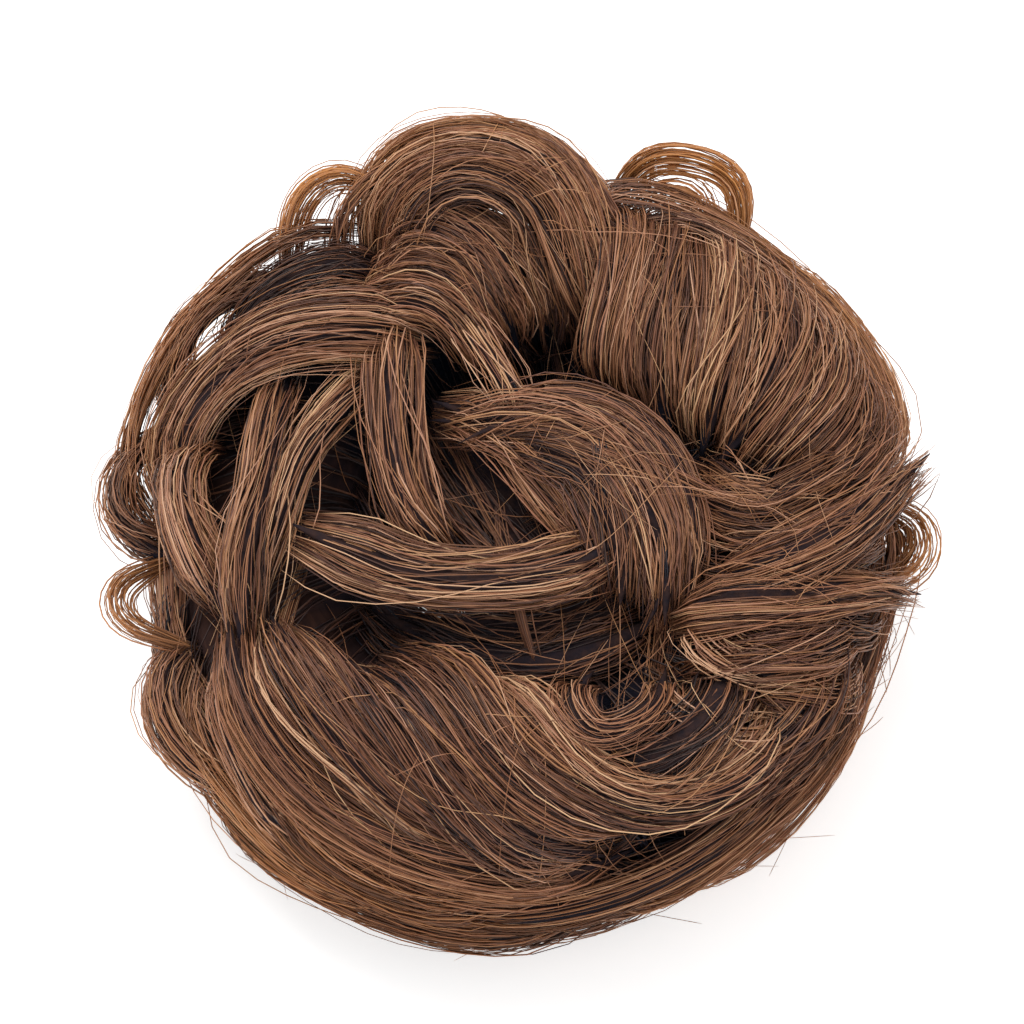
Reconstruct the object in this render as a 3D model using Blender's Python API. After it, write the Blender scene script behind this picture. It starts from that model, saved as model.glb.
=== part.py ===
"""Top knot hairpiece: curled hair sewn round an elastic band.

Lengths in the tables are millimetres and angles are degrees. The part lies on
its flat underside at z = 0, seen in plan with clock 0 at +X and 90 at +Y (back).
"""
import math
from collections import namedtuple

import bmesh
import bpy
from mathutils import Matrix, Vector

MM = 0.001

# Overall form of the ring
CORE_RADIUS = 43.0      # circle that the hair is wound round
CORE_HEIGHT = 22.0
HOLE_RADIUS = 21.2      # hair wall round the elastic
FOOT_INNER = 25.0       # flat underside, inner and outer edge
FOOT_OUTER = 54.0
BAND_CENTRE_RADIUS = 18.9
BAND_THICKNESS = 3.6
BAND_HEIGHT = 9.0
FLANK_OUT = 4.0         # the flank just above the foot stands out this far
FLANK_HEIGHT = 7.0
BELLY_HEIGHT = 20.0     # the widest place of the backing
SHOULDER_IN = 3.0       # the shoulder lies this far inside the belly
SHOULDER_HEIGHT = 33.0
CREST_HALF = 4.0        # half the width of the crest, and its fall to the outside
CREST_FALL = 2.0
WALL_TOP = 16.0         # the upright wall of the hollow
WALL_FOOT = 3.0

# Fineness of the solids
RING_STEPS = 36
BAND_STEPS = 32
BAND_SIDES = 8
LOCK_SIDES = 6
CURVE_STEPS = 12        # fine steps between two stations, before even spacing
SECTION_SPACING = 8.0   # distance between a lock's sections
FEWEST_SECTIONS = 8
END_TAPER = 0.35        # share of the width left at a lock's ends
SWELL_RATE = 3.0        # gain of that share over a lock's whole length
END_TUCK = 4.0          # depth that both ends of an outer lock dip under the surface
GAP = 0.35              # air between separate pieces

# Sections of the backing: one row for each eighth of a turn
Backing = namedtuple("Backing", "clock lip_radius lip_height crest_radius crest_height belly_radius")
BACKING = (
    Backing(0, 28, 36, 44, 42, 58),
    Backing(45, 28, 36, 46, 42, 58),
    Backing(90, 36, 24, 52, 40, 58),
    Backing(135, 30, 34, 46, 43, 58),
    Backing(180, 28, 38, 43, 43, 58),
    Backing(225, 27, 38, 43, 43, 58),
    Backing(270, 26, 38, 44, 43, 59),
    Backing(315, 26, 38, 44, 42, 58),
)

# A lock of hair: its width and thickness, then its stations (clock, radius, height)
Lock = namedtuple("Lock", "name width thick stations")

BACK_LOCKS = (
    Lock("arch_outer", 12, 7,
         ((120, 57, 37), (110, 63, 48), (98, 64, 52), (86, 61, 51), (76, 51, 46), (69, 39, 34))),
    Lock("arch_middle", 13, 7,
         ((118, 50, 40), (108, 56, 51), (97, 57, 54), (85, 52, 50), (76, 42, 43), (68, 32, 32))),
    Lock("arch_inner", 13, 6, ((116, 44, 40), (107, 48, 47), (96, 47, 46), (86, 40, 40), (80, 31, 30))),
    Lock("arch_back", 12, 7, ((122, 54, 34), (106, 59, 43), (88, 58, 44), (70, 54, 36))),
    Lock("arch_foot", 10, 6, ((112, 50, 42), (126, 55, 43), (140, 58, 40), (152, 58, 37))),
    Lock("back_loop_outer", 3.6, 3, ((77, 57, 37), (73, 66, 45), (65, 70, 47), (57, 69, 45), (52, 61, 36))),
    Lock("back_loop_inner", 3, 3, ((77, 56, 36), (70, 63, 42), (62, 65, 43), (55, 57, 35))),
    Lock("left_back_loop", 4, 3, ((134, 60, 34), (124, 67, 43), (116, 67, 47), (108, 61, 46))),
)

CURTAIN_LOCKS = (
    Lock("curtain_1", 10, 7, ((70, 54, 45), (66, 42, 47), (61, 31, 43), (52, 25, 34))),
    Lock("curtain_2", 11, 7, ((63, 57, 42), (57, 45, 48), (47, 33, 46), (30, 26, 38))),
    Lock("curtain_3", 11, 7, ((56, 59, 40), (46, 49, 48), (33, 38, 48), (20, 29, 41))),
    Lock("curtain_4", 11, 7, ((49, 60, 38), (38, 54, 46), (26, 45, 48), (15, 31, 43))),
    Lock("curtain_5", 11, 7, ((41, 60, 35), (31, 59, 41), (19, 52, 46), (8, 38, 46))),
    Lock("curtain_6", 10, 7, ((34, 61, 32), (22, 61, 37), (10, 57, 42), (-2, 45, 46))),
    Lock("curtain_rim", 8, 6, ((58, 60, 33), (46, 64, 35), (32, 65, 34), (18, 64, 32), (6, 60, 28))),
)

RIGHT_LOCKS = (
    Lock("right_sweep", 10, 6, ((24, 27, 36), (4, 31, 43), (-6, 39, 47), (3, 50, 46), (12, 59, 38))),
    Lock("right_band", 10, 6, ((-30, 30, 43), (-18, 42, 47), (-6, 53, 44), (4, 60, 36))),
    Lock("right_low", 8, 5, ((-46, 37, 46), (-38, 47, 47), (-28, 54, 44), (-16, 60, 37))),
    Lock("right_loop", 4, 3, ((9, 56, 32), (3, 65, 33), (-5, 65, 33), (-12, 56, 32))),
)

FRONT_LOCKS = (
    Lock("front_right_rim", 10, 7,
         ((-16, 57, 28), (-30, 59, 30), (-44, 60, 30), (-58, 61, 28), (-72, 61, 23))),
    Lock("front_right_upper", 10, 6, ((-20, 55, 39), (-31, 58, 39), (-42, 59, 38), (-56, 59, 36))),
    Lock("long_arc", 10, 6,
         ((-116, 25, 40), (-92, 36, 46), (-78, 49, 46), (-64, 56, 42), (-47, 57, 41), (-33, 54, 41))),
    Lock("short_arc", 9, 6, ((-77, 46, 45), (-65, 50, 46), (-50, 48, 47), (-38, 42, 46))),
    Lock("front_curl", 6, 5, ((-66, 27, 42), (-77, 36, 46), (-74, 44, 48), (-62, 44, 49), (-50, 35, 46))),
    Lock("diagonal_1", 10, 6,
         ((-134, 28, 42), (-106, 35, 47), (-94, 44, 48), (-82, 52, 45), (-68, 59, 38))),
    Lock("diagonal_2", 11, 6,
         ((-136, 37, 46), (-118, 42, 48), (-103, 50, 46), (-90, 57, 41), (-76, 61, 34))),
    Lock("diagonal_3", 11, 6,
         ((-155, 44, 46), (-141, 46, 47), (-124, 49, 46), (-108, 54, 43), (-92, 59, 36))),
    Lock("diagonal_4", 10, 6,
         ((-160, 51, 44), (-144, 55, 43), (-126, 58, 39), (-106, 60, 36), (-86, 61, 33))),
    Lock("front_rim_upper", 10, 6, ((-142, 59, 32), (-122, 62, 31), (-104, 63, 29), (-84, 63, 27))),
    Lock("front_rim_lower", 10, 7,
         ((-152, 61, 23), (-134, 64, 20), (-112, 63, 18), (-90, 62, 16), (-68, 60, 18))),
)

LEFT_LOCKS = (
    Lock("left_sweep", 14, 7,
         ((108, 33, 42), (128, 40, 48), (144, 50, 46), (157, 56, 42), (170, 58, 39), (182, 56, 38))),
    Lock("left_fall_1", 11, 6, ((163, 54, 42), (173, 55, 43), (185, 54, 44), (200, 52, 43))),
    Lock("left_fall_2", 9, 6, ((151, 45, 44), (165, 42, 48), (180, 42, 48), (195, 46, 47), (210, 53, 41))),
    Lock("left_fall_3", 8, 6, ((124, 34, 42), (147, 34, 45), (168, 36, 47), (186, 39, 47), (200, 46, 44))),
    Lock("left_bump", 7, 5, ((156, 58, 32), (168, 65, 34), (178, 65, 33), (186, 57, 32))),
    Lock("left_loop", 4, 3, ((181, 57, 32), (187, 66, 32), (194, 66, 32), (202, 57, 31))),
    Lock("left_back_rim", 9, 6, ((124, 59, 36), (138, 64, 37), (151, 65, 36), (165, 62, 33))),
    Lock("left_front_rim", 9, 6, ((194, 58, 28), (205, 64, 28), (216, 64, 26), (230, 61, 22))),
)

CROWN_LOCKS = (
    Lock("crown_under", 10, 7,
         ((188, 37, 48), (200, 29, 48), (220, 22, 47), (255, 16, 47), (300, 15, 46), (345, 18, 45))),
    Lock("crown_over", 8, 6,
         ((132, 22, 42), (110, 16, 44), (64, 15, 46), (30, 17, 47),
          (0, 20, 47), (-20, 25, 47), (-44, 32, 46))),
    Lock("crown_left", 9, 6, ((124, 36, 48), (137, 28, 48), (156, 22, 47), (190, 17, 45), (230, 13, 40))),
    Lock("crown_middle", 9, 7, ((126, 24, 43), (102, 15, 43), (60, 7, 43), (-10, 9, 43), (-32, 16, 44))),
    Lock("bed_front", 10, 5, ((198, 28, 38), (235, 24, 39), (275, 24, 39), (320, 27, 38))),
    Lock("bed_left", 12, 5, ((150, 28, 38), (172, 14, 38), (230, 12, 38), (275, 26, 38))),
    Lock("bed_middle", 13, 5, ((120, 29, 38), (118, 8, 38), (305, 10, 38), (300, 28, 38))),
    Lock("bed_right", 12, 5, ((75, 29, 38), (50, 15, 38), (-5, 15, 38), (-45, 28, 38))),
)

TUFT_LOCKS = (
    Lock("upper_tuft", 9, 5, ((-25, 31, 47), (-19, 43, 51), (-7, 53, 49), (4, 61, 43), (10, 68, 39))),
    Lock("lower_tuft", 9, 5, ((-40, 29, 47), (-31, 38, 50), (-22, 49, 49), (-15, 58, 44), (-11, 66, 37))),
)

# The skirt: even locks that close the flank down to the underside
SKIRT_COUNT = 12
SKIRT_SWEEP = 46.0      # degrees that each lock runs round the ring
SKIRT_TOP = (60.0, 27.0)
SKIRT_BOTTOM = (56.0, 8.0)
SKIRT_WIDTH = 13.0
SKIRT_THICK = 6.0
SKIRT_STATIONS = 4

# Colour and roughness of each piece
HAIR_ROUGHNESS = 0.45
FINISHES = {
    "elastic_band": ((0.012, 0.010, 0.010), 0.8),
    "hair_ring": ((0.10, 0.042, 0.020), HAIR_ROUGHNESS),
    "crown_swirl": ((0.15, 0.062, 0.028), HAIR_ROUGHNESS),
    "upper_tuft": ((0.13, 0.055, 0.028), HAIR_ROUGHNESS),
    "lower_tuft": ((0.13, 0.055, 0.028), HAIR_ROUGHNESS),
}
SHARP_ANGLE = 40.0      # edges that turn more than this stay sharp


def clear_scene():
    """Empty the scene, so that the script gives the same result each run."""
    for thing in list(bpy.data.objects):
        bpy.data.objects.remove(thing)


def at(clock, radius, height):
    """Point in the part's frame, in metres, from a clock angle, a radius and a height."""
    turn = math.radians(clock)
    return Vector((radius * math.cos(turn), radius * math.sin(turn), height)) * MM


def catmull(a, b, c, d, t):
    """Smooth value between b and c."""
    slope = c - a
    bend = 2 * a - 5 * b + 4 * c - d
    twist = 3 * b - a - 3 * c + d
    return (2 * b + slope * t + bend * t ** 2 + twist * t ** 3) / 2


def smooth_route(points):
    """Evenly spaced points on one smooth curve through the stations."""
    ends = [2 * points[0] - points[1]] + list(points) + [2 * points[-1] - points[-2]]
    fine = []
    for span in range(len(points) - 1):
        for step in range(CURVE_STEPS):
            fine.append(catmull(*ends[span:span + 4], step / CURVE_STEPS))
    fine.append(points[-1])
    reach = [0.0]
    for before, after in zip(fine, fine[1:]):
        reach.append(reach[-1] + (after - before).length)
    count = max(FEWEST_SECTIONS, round(reach[-1] / (SECTION_SPACING * MM)))
    route = []
    place = 0
    for section in range(count):
        goal = reach[-1] * section / count
        while reach[place + 1] < goal:
            place += 1
        share = (goal - reach[place]) / (reach[place + 1] - reach[place])
        route.append(fine[place].lerp(fine[place + 1], share))
    route.append(fine[-1])
    return route


def outward(point):
    """Direction away from the core circle of the ring: the flat side of a lock faces it."""
    flat = Vector((point.x, point.y, 0))
    core = flat.normalized() * CORE_RADIUS * MM
    core.z = CORE_HEIGHT * MM
    return (point - core).normalized()


def upward(point):
    """Direction that the flat side of a crown lock faces."""
    return Vector((0, 0, 1))


def swell(share, blunt):
    """Share of the full width along a lock, from its root at 0 to its tip at 1."""
    root = min(1.0, END_TAPER + share * SWELL_RATE)
    if blunt:
        return root
    return min(root, END_TAPER + (1 - share) * SWELL_RATE)


def lock_route(lock, tucked):
    """Centre line of a lock, with its ends dipped under the surface where they are tucked."""
    stations = [at(*station) for station in lock.stations]
    if "root" in tucked:
        stations[0] -= outward(stations[0]) * END_TUCK * MM
    if "tip" in tucked:
        stations[-1] -= outward(stations[-1]) * END_TUCK * MM
    return smooth_route(stations)


def lock_mesh(lock, facing=outward, grow=0.0, tucked=("root", "tip"), blunt=False):
    """One lock: a closed loft of flat oval sections along its route."""
    route = lock_route(lock, tucked)
    bm = bmesh.new()
    rings = []
    for index, point in enumerate(route):
        before = route[max(index - 1, 0)]
        after = route[min(index + 1, len(route) - 1)]
        along = (after - before).normalized()
        side = along.cross(facing(point)).normalized()
        up = side.cross(along)
        size = swell(index / (len(route) - 1), blunt)
        half_width = (lock.width / 2 * size + grow) * MM
        half_thick = (lock.thick / 2 * size + grow) * MM
        shift = Vector()
        if index in (0, len(route) - 1):
            shift = along * grow * MM * (1 if index else -1)
        ring = []
        for corner in range(LOCK_SIDES):
            turn = math.tau * corner / LOCK_SIDES
            offset = side * half_width * math.cos(turn) + up * half_thick * math.sin(turn)
            ring.append(bm.verts.new(point + shift + offset))
        rings.append(ring)
    return close_loft(bm, rings, lock.name, ends=True)


def close_loft(bm, rings, name, ends):
    """Join neighbouring rings of vertices with faces, and cap or close the run."""
    pairs = list(zip(rings, rings[1:]))
    if not ends:
        pairs.append((rings[-1], rings[0]))
    for low, high in pairs:
        for corner in range(len(low)):
            following = (corner + 1) % len(low)
            bm.faces.new((low[corner], low[following], high[following], high[corner]))
    if ends:
        bm.faces.new(rings[0])
        bm.faces.new(rings[-1])
    bmesh.ops.recalc_face_normals(bm, faces=bm.faces)
    mesh = bpy.data.meshes.new(name)
    bm.to_mesh(mesh)
    bm.free()
    return mesh


def backing_section(clock, grow):
    """Radius and height of the backing's outline at one clock angle."""
    count = len(BACKING)
    place = (clock / 360 * count) % count
    row = int(place)
    rows = [BACKING[(row + shift) % count] for shift in (-1, 0, 1, 2)]
    lip_r, lip_h, crest_r, crest_h, belly = (
        catmull(*(getattr(entry, column) for entry in rows), place - row)
        for column in ("lip_radius", "lip_height", "crest_radius", "crest_height", "belly_radius"))
    return (
        (FOOT_INNER - grow, -grow),
        (FOOT_OUTER + grow, -grow),
        (FOOT_OUTER + FLANK_OUT + grow, FLANK_HEIGHT),
        (belly + grow, BELLY_HEIGHT),
        (belly - SHOULDER_IN + grow, SHOULDER_HEIGHT),
        (crest_r + CREST_HALF + grow, crest_h - CREST_FALL + grow),
        (crest_r - CREST_HALF, crest_h + grow),
        (lip_r - grow, lip_h + grow),
        (HOLE_RADIUS - grow, WALL_TOP),
        (HOLE_RADIUS - grow, WALL_FOOT),
    )


def backing_mesh(grow=0.0):
    """The hair ring's backing: a closed ring whose section changes with the clock angle."""
    bm = bmesh.new()
    rings = []
    for step in range(RING_STEPS):
        clock = 360 * step / RING_STEPS
        rings.append([bm.verts.new(at(clock, *corner)) for corner in backing_section(clock, grow)])
    return close_loft(bm, rings, "backing", ends=False)


def skirt_locks():
    """Even locks round the flank, each running a little downhill."""
    locks = []
    for index in range(SKIRT_COUNT):
        start = 360 * index / SKIRT_COUNT
        stations = []
        for step in range(SKIRT_STATIONS):
            share = step / (SKIRT_STATIONS - 1)
            stations.append((
                start + SKIRT_SWEEP * share,
                SKIRT_TOP[0] + (SKIRT_BOTTOM[0] - SKIRT_TOP[0]) * share,
                SKIRT_TOP[1] + (SKIRT_BOTTOM[1] - SKIRT_TOP[1]) * share))
        locks.append(Lock("skirt_%02d" % index, SKIRT_WIDTH, SKIRT_THICK, tuple(stations)))
    return locks


def guide(mesh):
    """An object that only shapes others: it is drawn as a wire and left out of the part."""
    thing = bpy.data.objects.new(mesh.name + "_guide", mesh)
    thing.display_type = "WIRE"
    thing.hide_render = True
    bpy.context.scene.collection.objects.link(thing)
    return thing


def boolean_mesh(base, operation, others, name):
    """The exact union or difference of one mesh with several, as a new mesh."""
    group = bpy.data.collections.new(name + "_operands")
    for mesh in others:
        group.objects.link(guide(mesh))
    target = guide(base)
    modifier = target.modifiers.new(operation.title(), "BOOLEAN")
    modifier.operation = operation
    modifier.operand_type = "COLLECTION"
    modifier.collection = group
    modifier.solver = "EXACT"
    modifier.use_self = True
    bpy.context.view_layer.update()
    seen = target.evaluated_get(bpy.context.evaluated_depsgraph_get())
    result = bpy.data.meshes.new_from_object(seen)
    result.name = name
    for thing in [target] + list(group.objects):
        bpy.data.objects.remove(thing)
    bpy.data.collections.remove(group)
    return result


def keep_largest(mesh):
    """Drop crumbs that a cut leaves, so that the node is one closed body."""
    bm = bmesh.new()
    bm.from_mesh(mesh)
    islands = []
    seen = set()
    for first in bm.verts:
        if first in seen:
            continue
        island = {first}
        front = [first]
        while front:
            vert = front.pop()
            for edge in vert.link_edges:
                other = edge.other_vert(vert)
                if other not in island:
                    island.add(other)
                    front.append(other)
        seen |= island
        islands.append(island)
    islands.sort(key=len, reverse=True)
    for crumb in islands[1:]:
        bmesh.ops.delete(bm, geom=list(crumb), context="VERTS")
    bm.to_mesh(mesh)
    bm.free()
    return len(islands)


def finish_material(name, colour, roughness):
    """A plain non-metallic finish."""
    material = bpy.data.materials.new(name)
    material.use_nodes = True
    shader = material.node_tree.nodes["Principled BSDF"]
    shader.inputs["Base Color"].default_value = (*colour, 1)
    shader.inputs["Roughness"].default_value = roughness
    shader.inputs["Metallic"].default_value = 0.0
    return material


def centre_on_axis(meshes):
    """Move all the pieces together, so that their common box is centred on the Z axis."""
    meshes = list(meshes)
    points = [vert.co for mesh in meshes for vert in mesh.vertices]
    middle = [(min(p[axis] for p in points) + max(p[axis] for p in points)) / 2 for axis in (0, 1)]
    for mesh in meshes:
        mesh.transform(Matrix.Translation((-middle[0], -middle[1], 0)))


def node(name, mesh):
    """Place a finished solid in the scene as one of the part's pieces."""
    mesh.name = name
    mesh.materials.clear()
    mesh.materials.append(finish_material(name, *FINISHES[name]))
    mesh.shade_smooth()
    mesh.set_sharp_from_angle(angle=math.radians(SHARP_ANGLE))
    thing = bpy.data.objects.new(name, mesh)
    bpy.context.scene.collection.objects.link(thing)


def elastic_mesh():
    """The elastic: a round cord bent into a loop."""
    bm = bmesh.new()
    rings = []
    for step in range(BAND_STEPS):
        clock = 360 * step / BAND_STEPS
        ring = []
        for corner in range(BAND_SIDES):
            turn = math.tau * (corner + 0.5) / BAND_SIDES
            radius = BAND_CENTRE_RADIUS + BAND_THICKNESS / 2 * math.cos(turn)
            height = BAND_HEIGHT + BAND_THICKNESS / 2 * math.sin(turn)
            ring.append(bm.verts.new(at(clock, radius, height)))
        rings.append(ring)
    return close_loft(bm, rings, "elastic", ends=False)


def ring_mesh(grow=0.0):
    """Backing and outer locks in one body."""
    outer = BACK_LOCKS + CURTAIN_LOCKS + RIGHT_LOCKS + FRONT_LOCKS + LEFT_LOCKS + tuple(skirt_locks())
    locks = [lock_mesh(lock, grow=grow) for lock in outer]
    return boolean_mesh(backing_mesh(grow), "UNION", locks, "ring")


def crown_mesh(grow=0.0):
    """The crown locks in one body."""
    locks = [lock_mesh(lock, facing=upward, grow=grow, tucked=()) for lock in CROWN_LOCKS]
    return boolean_mesh(locks[0], "UNION", locks[1:], "crown")


def main():
    clear_scene()
    ring = ring_mesh()
    ring_cutter = ring_mesh(grow=GAP)
    crown_cutter = crown_mesh(grow=GAP)
    crown = boolean_mesh(crown_mesh(), "DIFFERENCE", [ring_cutter], "crown")
    upper, lower = (lock_mesh(lock, tucked=("root",), blunt=True) for lock in TUFT_LOCKS)
    upper = boolean_mesh(upper, "DIFFERENCE", [ring_cutter, crown_cutter], "upper")
    upper_cutter = lock_mesh(TUFT_LOCKS[0], tucked=("root",), blunt=True, grow=GAP)
    lower = boolean_mesh(lower, "DIFFERENCE", [ring_cutter, crown_cutter, upper_cutter], "lower")
    solids = {
        "elastic_band": elastic_mesh(),
        "hair_ring": ring,
        "crown_swirl": crown,
        "upper_tuft": upper,
        "lower_tuft": lower,
    }
    crumbs = {name: keep_largest(mesh) - 1 for name, mesh in solids.items()}
    centre_on_axis(solids.values())
    for name, mesh in solids.items():
        node(name, mesh)
        print(name, "faces", len(mesh.polygons), "crumbs", crumbs[name])


main()
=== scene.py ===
# %% [markdown]
# A messy bun hairpiece is curled hair sewn round an elastic loop. The wearer's own bun
# goes through the middle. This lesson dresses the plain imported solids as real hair:
# thousands of fine tubes combed along each lock, over darker cores that close the gaps.
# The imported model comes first, because every strand is placed by it.

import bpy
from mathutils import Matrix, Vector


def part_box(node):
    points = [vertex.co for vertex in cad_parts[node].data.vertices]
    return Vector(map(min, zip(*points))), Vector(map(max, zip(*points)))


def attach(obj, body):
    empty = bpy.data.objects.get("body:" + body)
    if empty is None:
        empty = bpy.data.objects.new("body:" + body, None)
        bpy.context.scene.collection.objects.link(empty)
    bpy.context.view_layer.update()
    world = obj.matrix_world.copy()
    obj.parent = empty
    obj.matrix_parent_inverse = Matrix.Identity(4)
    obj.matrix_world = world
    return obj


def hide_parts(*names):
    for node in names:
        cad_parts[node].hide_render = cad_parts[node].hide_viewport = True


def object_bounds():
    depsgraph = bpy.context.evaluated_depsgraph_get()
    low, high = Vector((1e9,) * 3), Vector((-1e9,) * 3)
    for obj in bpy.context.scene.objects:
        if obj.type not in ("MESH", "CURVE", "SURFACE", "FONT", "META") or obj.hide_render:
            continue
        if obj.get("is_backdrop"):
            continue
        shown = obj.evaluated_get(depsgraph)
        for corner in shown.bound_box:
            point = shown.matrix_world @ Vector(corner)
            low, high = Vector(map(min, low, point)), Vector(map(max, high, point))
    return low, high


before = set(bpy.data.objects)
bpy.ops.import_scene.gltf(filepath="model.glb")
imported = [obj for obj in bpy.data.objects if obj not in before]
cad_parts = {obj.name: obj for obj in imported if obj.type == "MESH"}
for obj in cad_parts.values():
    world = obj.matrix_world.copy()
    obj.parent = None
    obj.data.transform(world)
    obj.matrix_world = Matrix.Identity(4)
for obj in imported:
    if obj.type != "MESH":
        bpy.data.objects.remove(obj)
cad_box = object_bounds()
print("packed pieces:", sorted(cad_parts))

# %% Modules and units
import math
from collections import namedtuple

import bmesh
import bpy
import numpy as np
from mathutils import Matrix, Vector
from mathutils.bvhtree import BVHTree

MM = 0.001
rng = np.random.default_rng(31)

# %% [markdown]
# The tables below give places as a clock angle round the hollow, a radius and a height,
# as one would point at them on the real piece. The hollow's axis isn't quite at the
# origin, because the part is centred by its box. The elastic is a true circle, so the
# centre of its box is where the axis stands.

# %% Find the axis of the hollow
band_low, band_high = (np.array(corner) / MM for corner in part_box("elastic_band"))
AXIS = (band_low + band_high) / 2 * (1, 1, 0)
BAND_RADIUS = (band_high[0] - band_low[0]) / 2
BAND_MIDDLE = (band_low[2] + band_high[2]) / 2
print("axis of the hollow, mm:", AXIS.round(2), "elastic's outer radius:", round(BAND_RADIUS, 2))


def at(clock, radius, height):
    """Point in the row frame, in millimetres, from a clock angle, a radius and a height."""
    turn = math.radians(clock)
    return AXIS + (radius * math.cos(turn), radius * math.sin(turn), height)


# %% [markdown]
# A lock is a bundle of hair that runs together. Each row has its width and thickness in
# millimetres, its tone from dark to copper, and the stations that its middle passes
# through. Rows are easier to compare with a photograph than code, so every lock that
# can be told apart there has one. The first tables hold the arches at the back, and the
# see-through loops round the rim.

# %% Locks at the back
Lock = namedtuple("Lock", "name width thick tone stations")

BACK_LOCKS = (
    Lock("arch_outer", 12, 7, 0.66,
         ((120, 57, 37), (110, 63, 48), (98, 64, 52), (86, 61, 51), (76, 51, 46), (69, 39, 34))),
    Lock("arch_middle", 13, 7, 0.60,
         ((118, 50, 40), (108, 56, 51), (97, 57, 54), (85, 52, 50), (76, 42, 43), (68, 32, 32))),
    Lock("arch_inner", 13, 6, 0.40,
         ((116, 44, 40), (107, 48, 47), (96, 47, 46), (86, 40, 40), (80, 31, 30))),
    Lock("arch_fan_1", 9, 4, 0.60,
         ((118, 54, 44), (109, 52, 50), (99, 46, 51), (91, 39, 45), (85, 33, 34))),
    Lock("arch_fan_2", 10, 4, 0.54,
         ((125, 50, 42), (114, 46, 48), (104, 41, 49), (96, 35, 43), (90, 30, 33))),
    Lock("arch_fan_3", 8, 4, 0.56,
         ((132, 46, 43), (121, 42, 47), (111, 37, 48), (103, 31, 43), (97, 26, 34))),
    Lock("arch_back", 12, 7, 0.50, ((122, 54, 34), (106, 59, 43), (88, 58, 44), (70, 54, 36))),
    Lock("arch_foot", 10, 6, 0.42, ((112, 50, 42), (126, 55, 43), (140, 58, 40), (152, 58, 37))),
)
RIM_LOOPS = (
    Lock("back_loop_outer", 3.6, 3, 0.52,
         ((77, 57, 37), (73, 66, 45), (65, 70, 47), (57, 69, 45), (52, 61, 36))),
    Lock("back_loop_inner", 3, 3, 0.55, ((77, 56, 36), (70, 63, 42), (62, 65, 43), (55, 57, 35))),
    Lock("left_back_loop", 4, 3, 0.50, ((134, 60, 34), (124, 67, 43), (116, 67, 47), (108, 61, 46))),
    Lock("left_loop", 4, 3, 0.50, ((181, 57, 32), (187, 66, 32), (194, 66, 32), (202, 57, 31))),
    Lock("right_loop", 4, 3, 0.50, ((9, 56, 32), (3, 65, 33), (-5, 65, 33), (-12, 56, 32))),
)

# %% Locks of the curtain and the right side
CURTAIN_LOCKS = (
    Lock("curtain_1", 10, 7, 0.60,
         ((78, 58, 33), (71, 55, 44), (66, 42, 47), (61, 31, 43), (52, 25, 34))),
    Lock("curtain_2", 11, 7, 0.52,
         ((71, 61, 31), (64, 58, 41), (57, 45, 48), (47, 33, 46), (30, 26, 38))),
    Lock("curtain_3", 11, 7, 0.60,
         ((64, 63, 29), (57, 60, 39), (46, 49, 48), (33, 38, 48), (20, 29, 41))),
    Lock("curtain_4", 11, 7, 0.52,
         ((58, 63, 28), (50, 61, 37), (38, 54, 46), (26, 45, 48), (15, 31, 43))),
    Lock("curtain_5", 11, 7, 0.56,
         ((50, 63, 27), (42, 61, 34), (31, 59, 41), (19, 52, 46), (8, 38, 46))),
    Lock("curtain_6", 10, 7, 0.50, ((34, 61, 32), (22, 61, 37), (10, 57, 42), (-2, 45, 46))),
    Lock("curtain_rim", 8, 6, 0.55,
         ((58, 60, 33), (46, 64, 35), (32, 65, 34), (18, 64, 32), (6, 60, 28))),
)
RIGHT_LOCKS = (
    Lock("right_sweep", 10, 6, 0.52,
         ((24, 27, 36), (4, 31, 43), (-6, 39, 47), (3, 50, 46), (12, 59, 38))),
    Lock("right_band", 10, 6, 0.54, ((-30, 30, 43), (-18, 42, 47), (-6, 53, 44), (4, 60, 36))),
    Lock("right_low", 8, 5, 0.50, ((-50, 33, 38), (-38, 47, 47), (-28, 54, 44), (-16, 60, 37))),
    Lock("right_fill_1", 8, 5, 0.50, ((-30, 38, 43), (-24, 50, 43), (-18, 58, 37), (-8, 60, 30))),
    Lock("right_fill_2", 8, 5, 0.52, ((-42, 45, 44), (-37, 54, 42), (-30, 59, 36), (-18, 60, 29))),
)

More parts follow.
